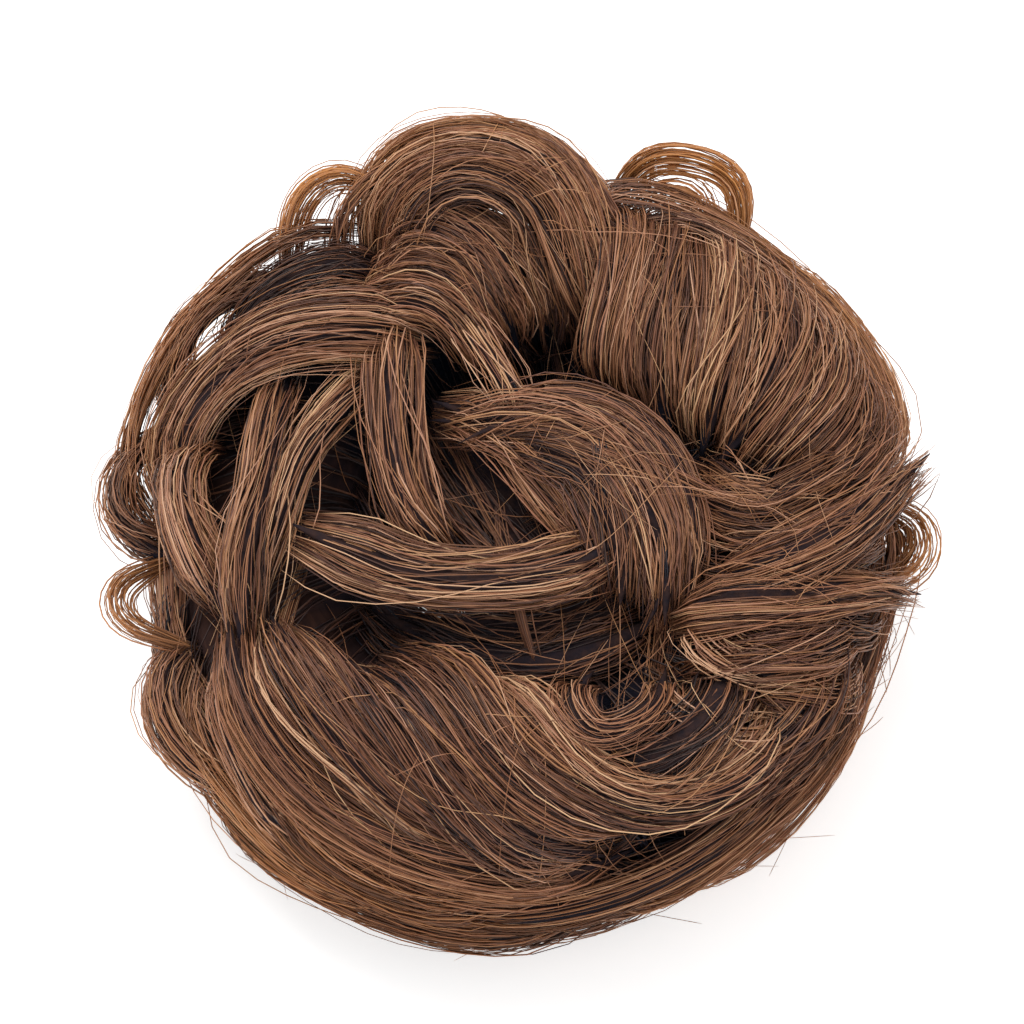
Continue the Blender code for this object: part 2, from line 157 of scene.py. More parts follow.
# %% Locks at the front
FRONT_LOCKS = (
    Lock("front_right_rim", 10, 7, 0.50,
         ((-16, 57, 28), (-30, 59, 30), (-44, 60, 30), (-58, 61, 28), (-72, 61, 23), (-86, 60, 19))),
    Lock("bottom_sweep", 8, 4, 0.52,
         ((-118, 61, 25), (-98, 63, 25), (-80, 63, 27), (-62, 62, 30), (-45, 60, 32), (-30, 57, 33))),
    Lock("front_right_upper", 10, 6, 0.44,
         ((-20, 55, 39), (-31, 58, 39), (-42, 59, 38), (-56, 59, 36))),
    Lock("long_arc", 10, 6, 0.54,
         ((-116, 25, 40), (-92, 36, 46), (-78, 49, 46), (-64, 56, 42), (-47, 57, 41), (-33, 54, 41))),
    Lock("short_arc", 9, 6, 0.34, ((-77, 46, 45), (-65, 50, 46), (-50, 48, 47), (-38, 42, 46))),
    Lock("front_curl", 6, 5, 0.48,
         ((-66, 27, 42), (-77, 36, 46), (-74, 44, 48), (-62, 44, 49), (-50, 35, 46))),
    Lock("diagonal_1", 10, 6, 0.46,
         ((-134, 28, 42), (-106, 35, 47), (-94, 44, 48), (-82, 52, 45), (-68, 59, 38))),
    Lock("diagonal_2", 11, 6, 0.40,
         ((-136, 37, 46), (-118, 42, 48), (-103, 50, 46), (-90, 57, 41), (-76, 61, 34))),
    Lock("diagonal_3", 11, 6, 0.50,
         ((-155, 44, 46), (-141, 46, 47), (-124, 49, 46), (-108, 54, 43), (-92, 59, 36))),
    Lock("diagonal_4", 10, 6, 0.48,
         ((-160, 51, 44), (-144, 55, 43), (-126, 58, 39), (-106, 60, 36), (-86, 61, 33), (-70, 60, 31))),
    Lock("front_rim_upper", 10, 6, 0.44,
         ((-142, 59, 32), (-122, 62, 31), (-104, 63, 29), (-84, 63, 27))),
    Lock("front_rim_lower", 10, 7, 0.40,
         ((-152, 61, 23), (-134, 64, 20), (-112, 63, 18), (-90, 62, 16), (-68, 60, 18))),
)

# %% Locks on the left
LEFT_LOCKS = (
    Lock("left_sweep", 12, 7, 0.60,
         ((108, 33, 42), (128, 40, 48), (144, 50, 46), (157, 56, 42), (170, 58, 39), (182, 56, 38))),
    Lock("left_fall_1", 8, 6, 0.52, ((163, 54, 42), (173, 55, 43), (185, 54, 44), (200, 52, 43))),
    Lock("left_fall_2", 7, 5, 0.50,
         ((141, 49, 43), (165, 42, 48), (180, 42, 48), (195, 46, 47), (210, 53, 41))),
    Lock("left_fall_3", 6, 5, 0.58,
         ((124, 34, 42), (147, 34, 45), (168, 36, 47), (186, 39, 47), (200, 46, 44))),
    Lock("left_bump", 7, 5, 0.54, ((156, 58, 32), (168, 65, 34), (178, 65, 33), (186, 57, 32))),
    Lock("left_long_arc", 4, 3, 0.70,
         ((204, 54, 41), (214, 58, 39), (226, 62, 33), (234, 63, 30), (243, 61, 26))),
    Lock("left_back_rim", 9, 6, 0.55, ((124, 59, 36), (138, 64, 37), (151, 65, 36), (165, 62, 33))),
    Lock("left_front_rim", 9, 6, 0.50, ((194, 58, 28), (205, 64, 28), (216, 64, 26), (230, 61, 22))),
)

# %% Locks of the crown and the two cut tufts
CROWN_LOCKS = (
    Lock("crown_under", 9, 6, 0.54,
         ((188, 37, 48), (200, 29, 48), (220, 22, 47), (255, 16, 47), (300, 15, 46), (345, 18, 45))),
    Lock("crown_over", 8, 6, 0.54,
         ((132, 22, 42), (110, 16, 44), (64, 15, 46), (30, 17, 47),
          (0, 20, 47), (-20, 25, 47), (-44, 32, 46))),
    Lock("crown_arc_1", 4, 3, 0.62,
         ((122, 13, 44), (82, 19, 46), (46, 23, 47), (16, 26, 47), (-14, 29, 46), (-38, 33, 43))),
    Lock("crown_arc_2", 4, 3, 0.56,
         ((134, 15, 44), (96, 14, 47), (52, 18, 48), (14, 22, 48), (-22, 27, 47), (-50, 30, 43))),
    Lock("crown_inner", 9, 4, 0.46,
         ((104, 13, 44), (62, 10, 46), (20, 13, 47), (-22, 18, 46), (-48, 24, 44))),
    Lock("crown_bridge", 4, 3, 0.66,
         ((108, 40, 46), (104, 31, 46), (97, 23, 45), (88, 16, 44), (70, 10, 43))),
    Lock("crown_left", 7, 6, 0.54,
         ((120, 40, 43), (128, 33, 48), (142, 26, 48), (160, 21, 47), (192, 17, 45), (230, 13, 40))),
    Lock("crown_middle", 7, 5, 0.48,
         ((126, 24, 43), (102, 15, 43), (60, 7, 43), (-10, 9, 43), (-32, 16, 44))),
)
# Painted shade: the beds under the crown are real hair, given dark tones so the hollow under it reads
# dark.
CROWN_BEDS = (
    Lock("bed_gap", 11, 4, 0.34, ((235, 20, 36), (270, 19, 36), (305, 20, 36), (335, 23, 36))),
    Lock("bed_rim", 9, 5, 0.30,
         ((215, 27, 36), (245, 25, 37), (275, 25, 37), (300, 26, 37), (325, 28, 37))),
    Lock("bed_front", 13, 5, 0.30, ((198, 28, 33), (235, 24, 34), (275, 24, 34), (320, 27, 34))),
    Lock("bed_left", 17, 5, 0.26, ((150, 28, 32), (172, 14, 32), (230, 9, 32), (275, 26, 32))),
    Lock("bed_middle", 16, 5, 0.24, ((120, 29, 33), (118, 8, 33), (305, 10, 33), (300, 28, 33))),
    Lock("bed_right", 15, 5, 0.28, ((75, 29, 34), (50, 15, 34), (-5, 15, 34), (-45, 28, 34))),
)
UPPER_TUFT = Lock("upper_tuft", 9, 5, 0.54,
                  ((-25, 31, 47), (-19, 43, 51), (-7, 53, 49), (4, 61, 43), (10, 68, 39)))
LOWER_TUFT = Lock("lower_tuft", 9, 5, 0.56,
                  ((-40, 29, 47), (-31, 38, 50), (-22, 49, 49), (-15, 58, 44), (-11, 66, 37)))

# %% [markdown]
# The flank below the visible locks is closed by even locks that run a little downhill.
# They all have the same shape, so a loop makes them from one top and one bottom place.
# Under them wavy belts of hair run level round the padding, down to the floor.

# %% Locks of the skirt
SKIRT_COUNT = 12
SKIRT_STATIONS = 4
SKIRT_SWEEP = 46        # degrees that each lock runs round the ring
SKIRT_TOP = np.array((60.0, 27.0))      # radius and height, mm
SKIRT_BOTTOM = np.array((56.0, 8.0))
SKIRT_SIZE = (13, 6)    # width and thickness, mm


def skirt_lock(index):
    """One lock of the skirt: its stations run evenly from the top place to the bottom one."""
    start = 360 * index / SKIRT_COUNT
    fall = SKIRT_BOTTOM - SKIRT_TOP
    stations = tuple(
        (start + SKIRT_SWEEP * share, *(SKIRT_TOP + fall * share))
        for share in np.linspace(0, 1, SKIRT_STATIONS)
    )
    return Lock("skirt_%02d" % index, *SKIRT_SIZE, 0.40 + 0.08 * (index % 3), stations)


SKIRT_LOCKS = tuple(skirt_lock(index) for index in range(SKIRT_COUNT))

# %% Belts under the skirt
BELT_HEIGHTS = (4.6, 11.0, 18.5, 26.0)      # the lowest one lies just off the floor
BELT_RADII = (57.0, 58.2, 58.6, 58.4)
BELT_LOCKS = 5
BELT_SWEEP = 88         # degrees, so that the five locks of a belt overlap
BELT_TURN = 31          # degrees between the starts of two belts
BELT_SINKS = 1.2        # mm that a lock comes nearer to the axis along its way
BELT_STATIONS = 7
BELT_WAVE = 1.7         # mm that a belt's locks rise and fall
BELT_CALM = 0.4         # share of that wave at the floor
BELT_SIZE = (9, 5)


def belt_lock(tier, index):
    """One wavy lock that runs level round the flank."""
    start = 360 * index / BELT_LOCKS + BELT_TURN * tier
    calm = BELT_CALM if tier == 0 else 1.0
    stations = []
    for step, share in enumerate(np.linspace(0, 1, BELT_STATIONS)):
        wave = BELT_WAVE * math.sin(2.1 * step + index + tier * 1.7) * calm
        radius = BELT_RADII[tier] - BELT_SINKS * share
        stations.append((start + BELT_SWEEP * share, radius, BELT_HEIGHTS[tier] + wave))
    tone = 0.56 + 0.06 * ((index + tier) % 3)
    return Lock("belt_%d_%d" % (tier, index), *BELT_SIZE, tone, tuple(stations))


LOW_BELTS, HIGH_BELTS = (
    tuple(belt_lock(tier, index) for tier in tiers for index in range(BELT_LOCKS))
    for tiers in ((0, 1), (2, 3))
)

# %% [markdown]
# A lock's middle is a smooth curve through its stations. A Catmull-Rom curve is used,
# because it passes through each station, where a Bezier or B-spline only comes near.
# Points are spread evenly along it, so that tubes have even segments.

# %% Smooth curves through stations
def unit(vectors):
    """The same directions with a length of one."""
    return vectors / np.maximum(np.linalg.norm(vectors, axis=-1, keepdims=True), 1e-9)


def smooth_curve(points, count, fine=24):
    """Evenly spaced points on one smooth curve through the given ones, and its length."""
    points = np.asarray(points, float)
    ends = np.vstack([2 * points[0] - points[1], points, 2 * points[-1] - points[-2]])
    place = np.linspace(0, len(points) - 1, fine * (len(points) - 1) + 1)
    span = np.minimum(place.astype(int), len(points) - 2)
    t = (place - span)[:, None]
    a, b, c, d = (ends[span + step] for step in range(4))
    line = 0.5 * (2 * b + (c - a) * t + (2 * a - 5 * b + 4 * c - d) * t**2
                  + (3 * b - a - 3 * c + d) * t**3)
    reach = np.concatenate([[0], np.cumsum(np.linalg.norm(np.diff(line, axis=0), axis=1))])
    even = np.linspace(0, reach[-1], count)
    return np.stack([np.interp(even, reach, line[:, k]) for k in range(3)], 1), reach[-1]


# %% [markdown]
# A lock is flat like a ribbon, so it needs to know which way its flat side faces. On the
# ring it faces away from the circle that the hair is wound round; on the crown it faces
# up. The course of a lock holds its middle line with these directions at each point.

# %% The course of a lock
CORE_RADIUS = 43.0      # the circle that the hair is wound round
CORE_HEIGHT = 22.0
END_TUCK = 4.0          # depth that the ends of an outer lock dip under the surface
COURSE_POINTS = 97
SOFTENED = 45           # rounds that spread a sharp bend over its neighbours

Course = namedtuple("Course", "lock line along side up length turning")


def away_from_core(points):
    """Directions away from the ring's core circle."""
    flat = (points - AXIS) * (1, 1, 0)
    core = AXIS + unit(flat) * CORE_RADIUS + (0, 0, CORE_HEIGHT)
    return unit(points - core)


def upwards(points):
    """The crown's locks face straight up."""
    return np.broadcast_to(np.array((0.0, 0.0, 1.0)), points.shape)


def course_of(lock, facing=away_from_core, tucked=(0, -1)):
    """The middle line of a lock with the directions along it, across it and out of it."""
    stations = np.array([at(*station) for station in lock.stations])
    for end in tucked:
        stations[end] -= facing(stations[end]) * END_TUCK
    line, length = smooth_curve(stations, COURSE_POINTS)
    for number in range(SOFTENED):
        line[1:-1] = line[1:-1] / 2 + (line[:-2] + line[2:]) / 4
    along = unit(np.gradient(line, axis=0))
    side = unit(np.cross(along, facing(line)))
    turning = np.arccos(np.clip((along[1:] * along[:-1]).sum(1), -1, 1)).sum()
    return Course(lock, line, along, side, np.cross(side, along), length, turning)


END_WIDTH = 0.35        # a lock's width at its ends, as a share of its full width
END_SLOPE = 3           # how fast it widens from there


def swell(share, blunt=False):
    """Share of the full width along a lock, from its root at 0 to its tip at 1."""
    root = np.minimum(1.0, END_WIDTH + share * END_SLOPE)
    return root if blunt else np.minimum(root, END_WIDTH + (1 - share) * END_SLOPE)


ring_groups = {
    "back": BACK_LOCKS, "loops": RIM_LOOPS, "curtain": CURTAIN_LOCKS, "right": RIGHT_LOCKS,
    "front": FRONT_LOCKS, "left": LEFT_LOCKS, "skirt": SKIRT_LOCKS,
}
courses = {name: [course_of(lock) for lock in locks] for name, locks in ring_groups.items()}
courses["crown"] = [course_of(lock, upwards, ()) for lock in CROWN_LOCKS]
courses["beds"] = [course_of(lock, upwards, ()) for lock in CROWN_BEDS]
courses["low_belts"] = [course_of(lock, tucked=()) for lock in LOW_BELTS]
courses["high_belts"] = [course_of(lock, tucked=()) for lock in HIGH_BELTS]
courses["upper"] = [course_of(UPPER_TUFT, tucked=(0,))]
courses["lower"] = [course_of(LOWER_TUFT, tucked=(0,))]
for name, group in courses.items():
    print(name, len(group), "locks,", round(sum(course.length for course in group)), "mm")

# %% [markdown]
# Materials are sums on numbers: a strand's tone plus a fine fleck, darkened in the
# hollows. Writing each sum as Math nodes by hand is long, so a small class wraps a
# socket, and plus, minus and times on it add the nodes. A second class holds one
# material, and makes any other node by its type, its settings and its sockets.

# %% A socket that does arithmetic
class Number:
    """A number in a material's node tree. Arithmetic on it adds Math nodes."""

    def __init__(self, finish, socket):
        self.finish = finish
        self.socket = socket

    def maths(self, operation, first, second):
        """The result of one Math node."""
        settings = {"operation": operation}
        return self.finish.node("ShaderNodeMath", settings, {0: first, 1: second}).number()

    def __add__(self, other):
        return self.maths("ADD", self, other)

    def __mul__(self, other):
        return self.maths("MULTIPLY", self, other)

    def __sub__(self, other):
        return self.maths("SUBTRACT", self, other)

    def __rsub__(self, other):
        return self.maths("SUBTRACT", other, self)


# %% A material and its nodes
class Made:
    """A node that has been made, with its outputs at hand."""

    def __init__(self, finish, node):
        self.finish = finish
        self.outputs = node.outputs

    def number(self, name=0):
        return Number(self.finish, self.outputs[name])


class Finish:
    """One material. Nodes are added by type, settings and socket values or links."""

    def __init__(self, name):
        self.material = bpy.data.materials.new(name)
        self.material.use_nodes = True
        self.tree = self.material.node_tree
        self.surface = self.tree.nodes["Principled BSDF"]

    def set(self, node, sockets):
        """Link or set each of a node's inputs that is named."""
        for key, value in sockets.items():
            if isinstance(value, Number):
                value = value.socket
            if isinstance(value, bpy.types.NodeSocket):
                self.tree.links.new(value, node.inputs[key])
            else:
                node.inputs[key].default_value = value

    def node(self, kind, settings=None, sockets=None):
        """Make a node with its settings and its inputs."""
        made = self.tree.nodes.new(kind)
        for key, value in (settings or {}).items():
            if key == "stops":
                self.set_stops(made.color_ramp, value)
            else:
                setattr(made, key, value)
        self.set(made, sockets or {})
        return Made(self, made)

    def set_stops(self, ramp, stops):
        """Give a colour ramp its places and colours."""
        while len(ramp.elements) < len(stops):
            ramp.elements.new(0.5)
        for element, (place, colour) in zip(ramp.elements, stops):
            element.position = place
            element.color = (*colour, 1)

    def attribute(self, name):
        """A number that is written at each point of the mesh."""
        return self.node("ShaderNodeAttribute", {"attribute_name": name}).number("Fac")

    def blend(self, share, first, second):
        """A colour between two others."""
        mixed = self.node("ShaderNodeMix", {"data_type": "RGBA"}, {"Factor": share, 6: first, 7: second})
        return mixed.outputs[2]

    def noise(self, scale, detail=2.0, place=None):
        """Soft noise from 0 to 1, in the object's own space."""
        place = place or self.node("ShaderNodeTexCoord").outputs["Object"]
        made = self.node("ShaderNodeTexNoise", {}, {"Vector": place, "Scale": scale, "Detail": detail})
        return made.number("Factor") if "Factor" in made.outputs else made.number("Fac")


# %% [markdown]
# Brown hair isn't one colour. Beside each other lie near-black, chestnut and copper
# strands, and one strand is lighter towards its tip. So the tone of each strand is an
# attribute on its points, and a colour ramp turns tone into colour. In the hollows light
# is lost between the strands until they look blue-black; that shade is painted into the
# colour by the attribute `open`. At the edge light comes through the hair and turns it
# orange: that painted light is `glow`.

# %% The hair finish
# Painted shade: the blue-black that deep hollows fade to. Painted light: the orange of hair at the
# outline, as if lit from behind.
PAINTED_HOLLOW_SHADE = (0.0080, 0.0100, 0.0190, 1)
LIT_EDGE = (0.66, 0.27, 0.070, 1)
COPPER_STOPS = (
    (0.0, (0.014, 0.0105, 0.0140)),
    (0.26, (0.050, 0.0240, 0.0210)),
    (0.48, (0.160, 0.063, 0.038)),
    (0.72, (0.380, 0.158, 0.083)),
    (1.0, (0.650, 0.370, 0.240)),
)
GOLDEN_STOPS = (
    (0.0, (0.013, 0.0100, 0.0120)),
    (0.26, (0.054, 0.0260, 0.0195)),
    (0.48, (0.185, 0.077, 0.034)),
    (0.72, (0.450, 0.208, 0.090)),
    (1.0, (0.760, 0.470, 0.250)),
)


def hair_finish(name):
    """Strand colour from tone and hue, flecks along it, painted shade in hollows and painted light at the
    edge.
    """
    finish = Finish(name)
    tone = finish.attribute("tone") + (finish.noise(420, 3.0) - 0.5) * 0.20
    copper, golden = (
        finish.node("ShaderNodeValToRGB", {"stops": stops}, {0: tone}).outputs["Color"]
        for stops in (COPPER_STOPS, GOLDEN_STOPS)
    )
    colour = finish.blend(finish.attribute("hue"), copper, golden)
    colour = finish.blend(finish.attribute("glow"), colour, LIT_EDGE)
    colour = finish.blend(finish.attribute("open"), PAINTED_HOLLOW_SHADE, colour)
    roughness = 0.42 - (finish.noise(900) - 0.5) * 0.2
    finish.set(finish.surface, {"Base Color": colour, "Roughness": roughness, "Specular IOR Level": 0.45})
    return finish.material


def under_finish(name, dark, light, stretch):
    """What lies under the strands: matt and dark, with fine streaks, and painted shade that darkens it in
    hollows.
    """
    finish = Finish(name)
    place = finish.node("ShaderNodeTexCoord").outputs["Object"]
    place = finish.node("ShaderNodeMapping", {}, {"Vector": place, "Scale": stretch}).outputs[0]
    streak = finish.noise(1.0, 3.0, place)
    colour = finish.blend(streak * 2 - 0.5, dark, light)
    colour = finish.blend(finish.attribute("open"), PAINTED_HOLLOW_SHADE, colour)
    bump = finish.node("ShaderNodeBump", {}, {"Height": streak, "Distance": 0.0005, "Strength": 0.8})
    finish.set(finish.surface, {"Base Color": colour, "Roughness": 0.9, "Specular IOR Level": 0.1,
                                "Normal": bump.outputs[0]})
    return finish.material


ring_hair = hair_finish("ring_hair")
crown_hair = hair_finish("crown_hair")
tuft_hair = hair_finish("tuft_hair")
# Painted shade, in part: the cores' near-black with a blue tint stands for the shade deep inside each
# lock, over the hair's own dark brown.
under_hair = under_finish(
    "under_hair_painted_shade", (0.014, 0.0120, 0.0175, 1), (0.050, 0.0260, 0.0215, 1), (700, 700, 700))
wound_hair = under_finish(
    "wound_hair", (0.012, 0.0095, 0.0125, 1), (0.085, 0.038, 0.026, 1), (70, 70, 1500))

# %% [markdown]
# Under the strands each lock has a dark core, so that nobody looks through a lock. Its
# near-black is painted shade for the hair deep inside. A core is a corrugated tube: its end
# face is a bmesh circle that is extruded from station to station, each new end set in place
# by the lock's course. Every second corner lies deeper, which already reads as bundled hair
# where the strands part.

# %% Sweep a face along a course
def finished(bm, name):
    """The mesh of a finished bmesh, which is then freed."""
    mesh = bpy.data.meshes.new(name)
    bm.to_mesh(mesh)
    bm.free()
    return mesh


CORE_SIDES = 16
CORE_SHARE = 0.66       # the core's width as a share of the lock's
GROOVE = 0.86           # depth of every second corner
CORE_SPACING = 3.8      # distance between a core's sections
CORE_POINT = 0.03       # its size at the ends, as a share
CORE_SLOPE = 3.2        # how fast it grows from there
BLUNT_TIP_SLOPE = 1.9


def core_size(share, blunt):
    """Share of the core's full width: it runs out to a point before the hair does."""
    tip = BLUNT_TIP_SLOPE if blunt else CORE_SLOPE
    size = min(CORE_POINT + share * CORE_SLOPE, CORE_POINT + (1 - share) * tip)
    return float(np.clip(size, CORE_POINT, 1.0))


def core_section(course, row, size):
    """Corners of a core's section at one row of the course."""
    turn = np.linspace(0, math.tau, CORE_SIDES, endpoint=False)
    rib = np.where(np.arange(CORE_SIDES) % 2, GROOVE, 1.0) * size * CORE_SHARE / 2
    wide = (rib * course.lock.width * np.cos(turn))[:, None] * course.side[row]
    high = (rib * course.lock.thick * np.sin(turn))[:, None] * course.up[row]
    return course.line[row] + wide + high


def core_mesh(course, blunt=False):
    """One lock's core: a circle's face extruded through the sections of the course."""
    bm = bmesh.new()
    bmesh.ops.create_circle(bm, cap_ends=True, segments=CORE_SIDES, radius=1)
    face = bm.faces[:][0]
    rows = np.linspace(0, COURSE_POINTS - 1, max(8, round(course.length / CORE_SPACING))).astype(int)
    for step, row in enumerate(rows):
        if step:
            made = bmesh.ops.extrude_face_region(bm, geom=[face])
            face = next(item for item in made["geom"] if isinstance(item, bmesh.types.BMFace))
        corners = core_section(course, row, core_size(row / (COURSE_POINTS - 1), blunt))
        for vert, place in zip(face.verts, corners):
            vert.co = place * MM
    bmesh.ops.recalc_face_normals(bm, faces=bm.faces)
    return finished(bm, "core")


# %% [markdown]
# All cores of a part are joined in one mesh. A small helper turns a finished mesh into a
# piece, and two more read a mesh's points and write a number at each of them.

# %% Attributes and pieces
def write_attribute(mesh, name, values):
    """One number at each point of a mesh."""
    layer = mesh.attributes.new(name, "FLOAT", "POINT")
    layer.data.foreach_set("value", np.ascontiguousarray(values, np.float32))


def points_of(mesh):
    """Places of a mesh's points, in millimetres."""
    places = np.empty(len(mesh.vertices) * 3, np.float32)
    mesh.vertices.foreach_get("co", places)
    return places.reshape(-1, 3).astype(float) / MM


def piece(name, mesh, finish, slot, *nodes):
    """A finished mesh becomes a piece that rides on the frame and stands for CAD nodes."""
    mesh.name = name
    mesh.materials.clear()
    mesh.materials.append(finish)
    mesh.shade_smooth()
    thing = bpy.data.objects.new(name, mesh)
    bpy.context.scene.collection.objects.link(thing)
    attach(thing, "root")
    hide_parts(*nodes)
    print(name, "triangles", sum(len(face.vertices) - 2 for face in mesh.polygons))


# %% Join the cores of a part
def joined_cores(name, group, blunt=False):
    """One mesh with every core of a group of locks."""
    whole = bmesh.new()
    for course in group:
        mesh = core_mesh(course, blunt)
        whole.from_mesh(mesh)
        bpy.data.meshes.remove(mesh)
    return finished(whole, name)


outer_courses = [course for name in ring_groups if name != "loops" for course in courses[name]]
core_meshes = {
    "ring_cores": joined_cores("ring_cores", outer_courses),
    "crown_cores": joined_cores("crown_cores", courses["crown"] + courses["beds"]),
    "upper_tuft_core": joined_cores("upper_tuft_core", courses["upper"], True),
    "lower_tuft_core": joined_cores("lower_tuft_core", courses["lower"], True),
}

# %% [markdown]
# The hair is sewn to a padded ring. Its section is a closed outline with a flat foot, a
# round belly, a crest and a lip over the hollow, and it changes round the ring. An even
# ring is easy to make with the spin operator, so the outline is spun first, each corner
# keeps its number in a layer, and then every corner moves to the place that its clock
# angle asks for.

# %% The padding's section
Section = namedtuple("Section", "lip_radius lip_height crest_radius crest_height belly_radius")
EIGHTHS = (             # one row for each eighth of a turn, from clock 0
    Section(28, 34, 44, 40, 58), Section(28, 34, 46, 40, 58), Section(36, 24, 52, 38, 58),
    Section(30, 31, 46, 37, 58), Section(28, 31, 44, 35, 58), Section(27, 31, 44, 36, 58),
    Section(26, 33, 44, 39, 59), Section(26, 33, 44, 39, 58),
)
HOLE_RADIUS = 21.2
FOOT_INNER = 25.0
FOOT_OUTER = 54.0


def section_at(clock):
    """Radius and height of the padding's corners at one clock angle."""
    rows = np.array(EIGHTHS + EIGHTHS[:1], float)
    places = np.linspace(0, 360, len(rows))
    lip_r, lip_h, crest_r, crest_h, belly = (np.interp(clock % 360, places, column) for column in rows.T)
    return (
        (FOOT_INNER, 0), (FOOT_OUTER, 0), (FOOT_OUTER + 3, 7), (belly - 1, 20), (belly - 4, 33),
        (crest_r + 3, crest_h - 3), (crest_r - 4, crest_h - 1), (lip_r + 0.5, lip_h - 1),
        (HOLE_RADIUS, 16), (HOLE_RADIUS, 3),
    )


# %% The padding
PADDING_STEPS = 96


def spin_round(bm, geometry, steps):
    """Spin an outline all round the axis of the hollow."""
    bmesh.ops.spin(bm, geom=geometry, cent=Vector(AXIS * MM), axis=(0, 0, 1), angle=math.tau,
                   steps=steps, use_merge=True)


def padding_mesh():
    """The outline spun round the axis, then each corner set to its own section."""
    bm = bmesh.new()
    number = bm.verts.layers.int.new("corner")
    outline = []
    for index, (radius, height) in enumerate(section_at(0)):
        vert = bm.verts.new(at(0, radius, height) * MM)
        vert[number] = index
        outline.append(vert)
    edges = [bm.edges.new((a, b)) for a, b in zip(outline, outline[1:] + outline[:1])]
    spin_round(bm, outline + edges, PADDING_STEPS)
    for vert in bm.verts:
        away = np.array(vert.co) / MM - AXIS
        clock = math.degrees(math.atan2(away[1], away[0]))
        vert.co = at(clock, *section_at(clock)[vert[number]]) * MM
    bmesh.ops.recalc_face_normals(bm, faces=bm.faces)
    return finished(bm, "padding")


padding = padding_mesh()
print("padding points", len(padding.vertices))

# %% [markdown]
# How open a place is decides how much light reaches it, and that shade is painted into
# the colour. From each place a few rays go out over the upper half of the sky, and the
# share that meets nothing is the openness. A BVH tree of the cores and the padding answers
# each ray fast. Only a few places along a strand are tested, and the rest are read between
# them. The cores and the padding get the same number, less the light that the strands
# above them take, so the gaps between locks are painted nearly black.

# %% Openness of a place
def joined_tree(meshes):
    """One search tree over several meshes, in millimetres."""
    corners = []
    faces = []
    start = 0
    for mesh in meshes:
        corners.extend(points_of(mesh).tolist())
        faces.extend([[start + index for index in face.vertices] for face in mesh.polygons])
        start = len(corners)
    return BVHTree.FromPolygons(corners, faces)


SKY_RINGS = ((0.25, 6), (0.75, 5), (1.25, 3))       # angle above the floor, and number of rays
SKY = [
    Vector((math.cos(turn) * math.cos(rise), math.sin(turn) * math.cos(rise), math.sin(rise)))
    for rise, count in SKY_RINGS
    for turn in np.linspace(0, math.tau, count, endpoint=False) + rise
]
RAY_START = 0.4         # mm from the place, so that a ray clears its own surface
RAY_REACH = 34.0
DARKEST_AT = 0.12       # openness where a place is fully dark
BRIGHT_RANGE = 0.42     # and how much more it takes to be fully lit
tree = joined_tree(list(core_meshes.values()) + [padding])


def openness(places):
    """Share of the sky that each place sees, from 0 in a closed hollow to 1."""
    seen = np.empty(len(places))
    for row, place in enumerate(places):
        start = Vector(place)
        free = sum(tree.ray_cast(start + way * RAY_START, way, RAY_REACH)[0] is None for way in SKY)
        seen[row] = free / len(SKY)
    return seen


def lit(seen):
    """Openness as a smooth step from blue-black to full colour."""
    share = np.clip((seen - DARKEST_AT) / BRIGHT_RANGE, 0, 1)
    return share * share * (3 - 2 * share)


# %% Put the cores and the padding in place
UNDER_SHADE = 0.22      # openness that the strands above take from what lies under them

# Painted shade: each point's openness is written as the attribute that darkens its colour.
for mesh in (padding, *core_meshes.values()):
    write_attribute(mesh, "open", lit(openness(points_of(mesh)) - UNDER_SHADE))
piece("ring_padding", padding, wound_hair, "ring_hair", "hair_ring")
piece("ring_cores", core_meshes["ring_cores"], under_hair, "ring_hair", "hair_ring")
piece("crown_cores", core_meshes["crown_cores"], under_hair, "crown_hair", "crown_swirl")
piece("upper_tuft_core", core_meshes["upper_tuft_core"], under_hair, "tuft_hair", "upper_tuft")
piece("lower_tuft_core", core_meshes["lower_tuft_core"], under_hair, "tuft_hair", "lower_tuft")

# %% [markdown]
# Now the strands. Combed hair doesn't lie evenly: it gathers in clumps a few millimetres
# wide, each with its own tone, which wander over and under each other. So a lock gets
# clumps round the visible side of its oval, and each clump gets strands in a small disc
# that turns slowly along the way. A few strands are loose: they sway over the
# neighbours and stand a little proud, which is what makes hair look soft.

# %% Where strands lie
Strands = namedtuple("Strands", "points radius tone glow")
LONGEST_STEP = 6.6      # distance between a strand's points, mm
WIDEST_BEND = 0.20      # and the most that it may turn between them, radians
THINNEST = 0.07         # strand radius, mm; a visible strand is a few hairs
THICKEST = 0.18
CLEAR_OF_FLOOR = 0.4    # least height of a strand
EDGE_RADIUS = 60.0      # hair this far out is lit from behind
LIT_DEPTH = 11.0        # and the light grows to its full strength over this distance


def between(course, shares):
    """The course's line, side and up directions at shares of its length."""
    rows = np.linspace(0, 1, COURSE_POINTS)
    return [
        np.stack([np.interp(shares, rows, part[:, k]) for k in range(3)], -1)
        for part in (course.line, course.side, course.up)
    ]


def taper(own, ends=0.3):
    """A strand is thinner towards both its ends."""
    return np.minimum(1.0, ends + 9 * np.minimum(own, 1 - own))


# Painted light: hair near the outline is coloured orange, as if lit from behind.
def edge_light(points, least=0.0, most=0.4):
    """How much light from behind shows through each point: most at the outline."""
    reach = np.linalg.norm((points - AXIS)[..., :2], axis=-1)
    share = np.clip((reach - EDGE_RADIUS) / LIT_DEPTH, 0, 1)
    own = rng.uniform(0.25, 1.0, points.shape[:1])[:, None]
    return np.clip(least + most * share * own, 0, 1)


def even_steps(*courses):
    """Number of points that a strand needs: more where it is long or bends much."""
    length = max(course.length for course in courses)
    turning = max(course.turning for course in courses)
    return int(np.clip(round(max(length / LONGEST_STEP, turning / WIDEST_BEND)) + 2, 8, 26))


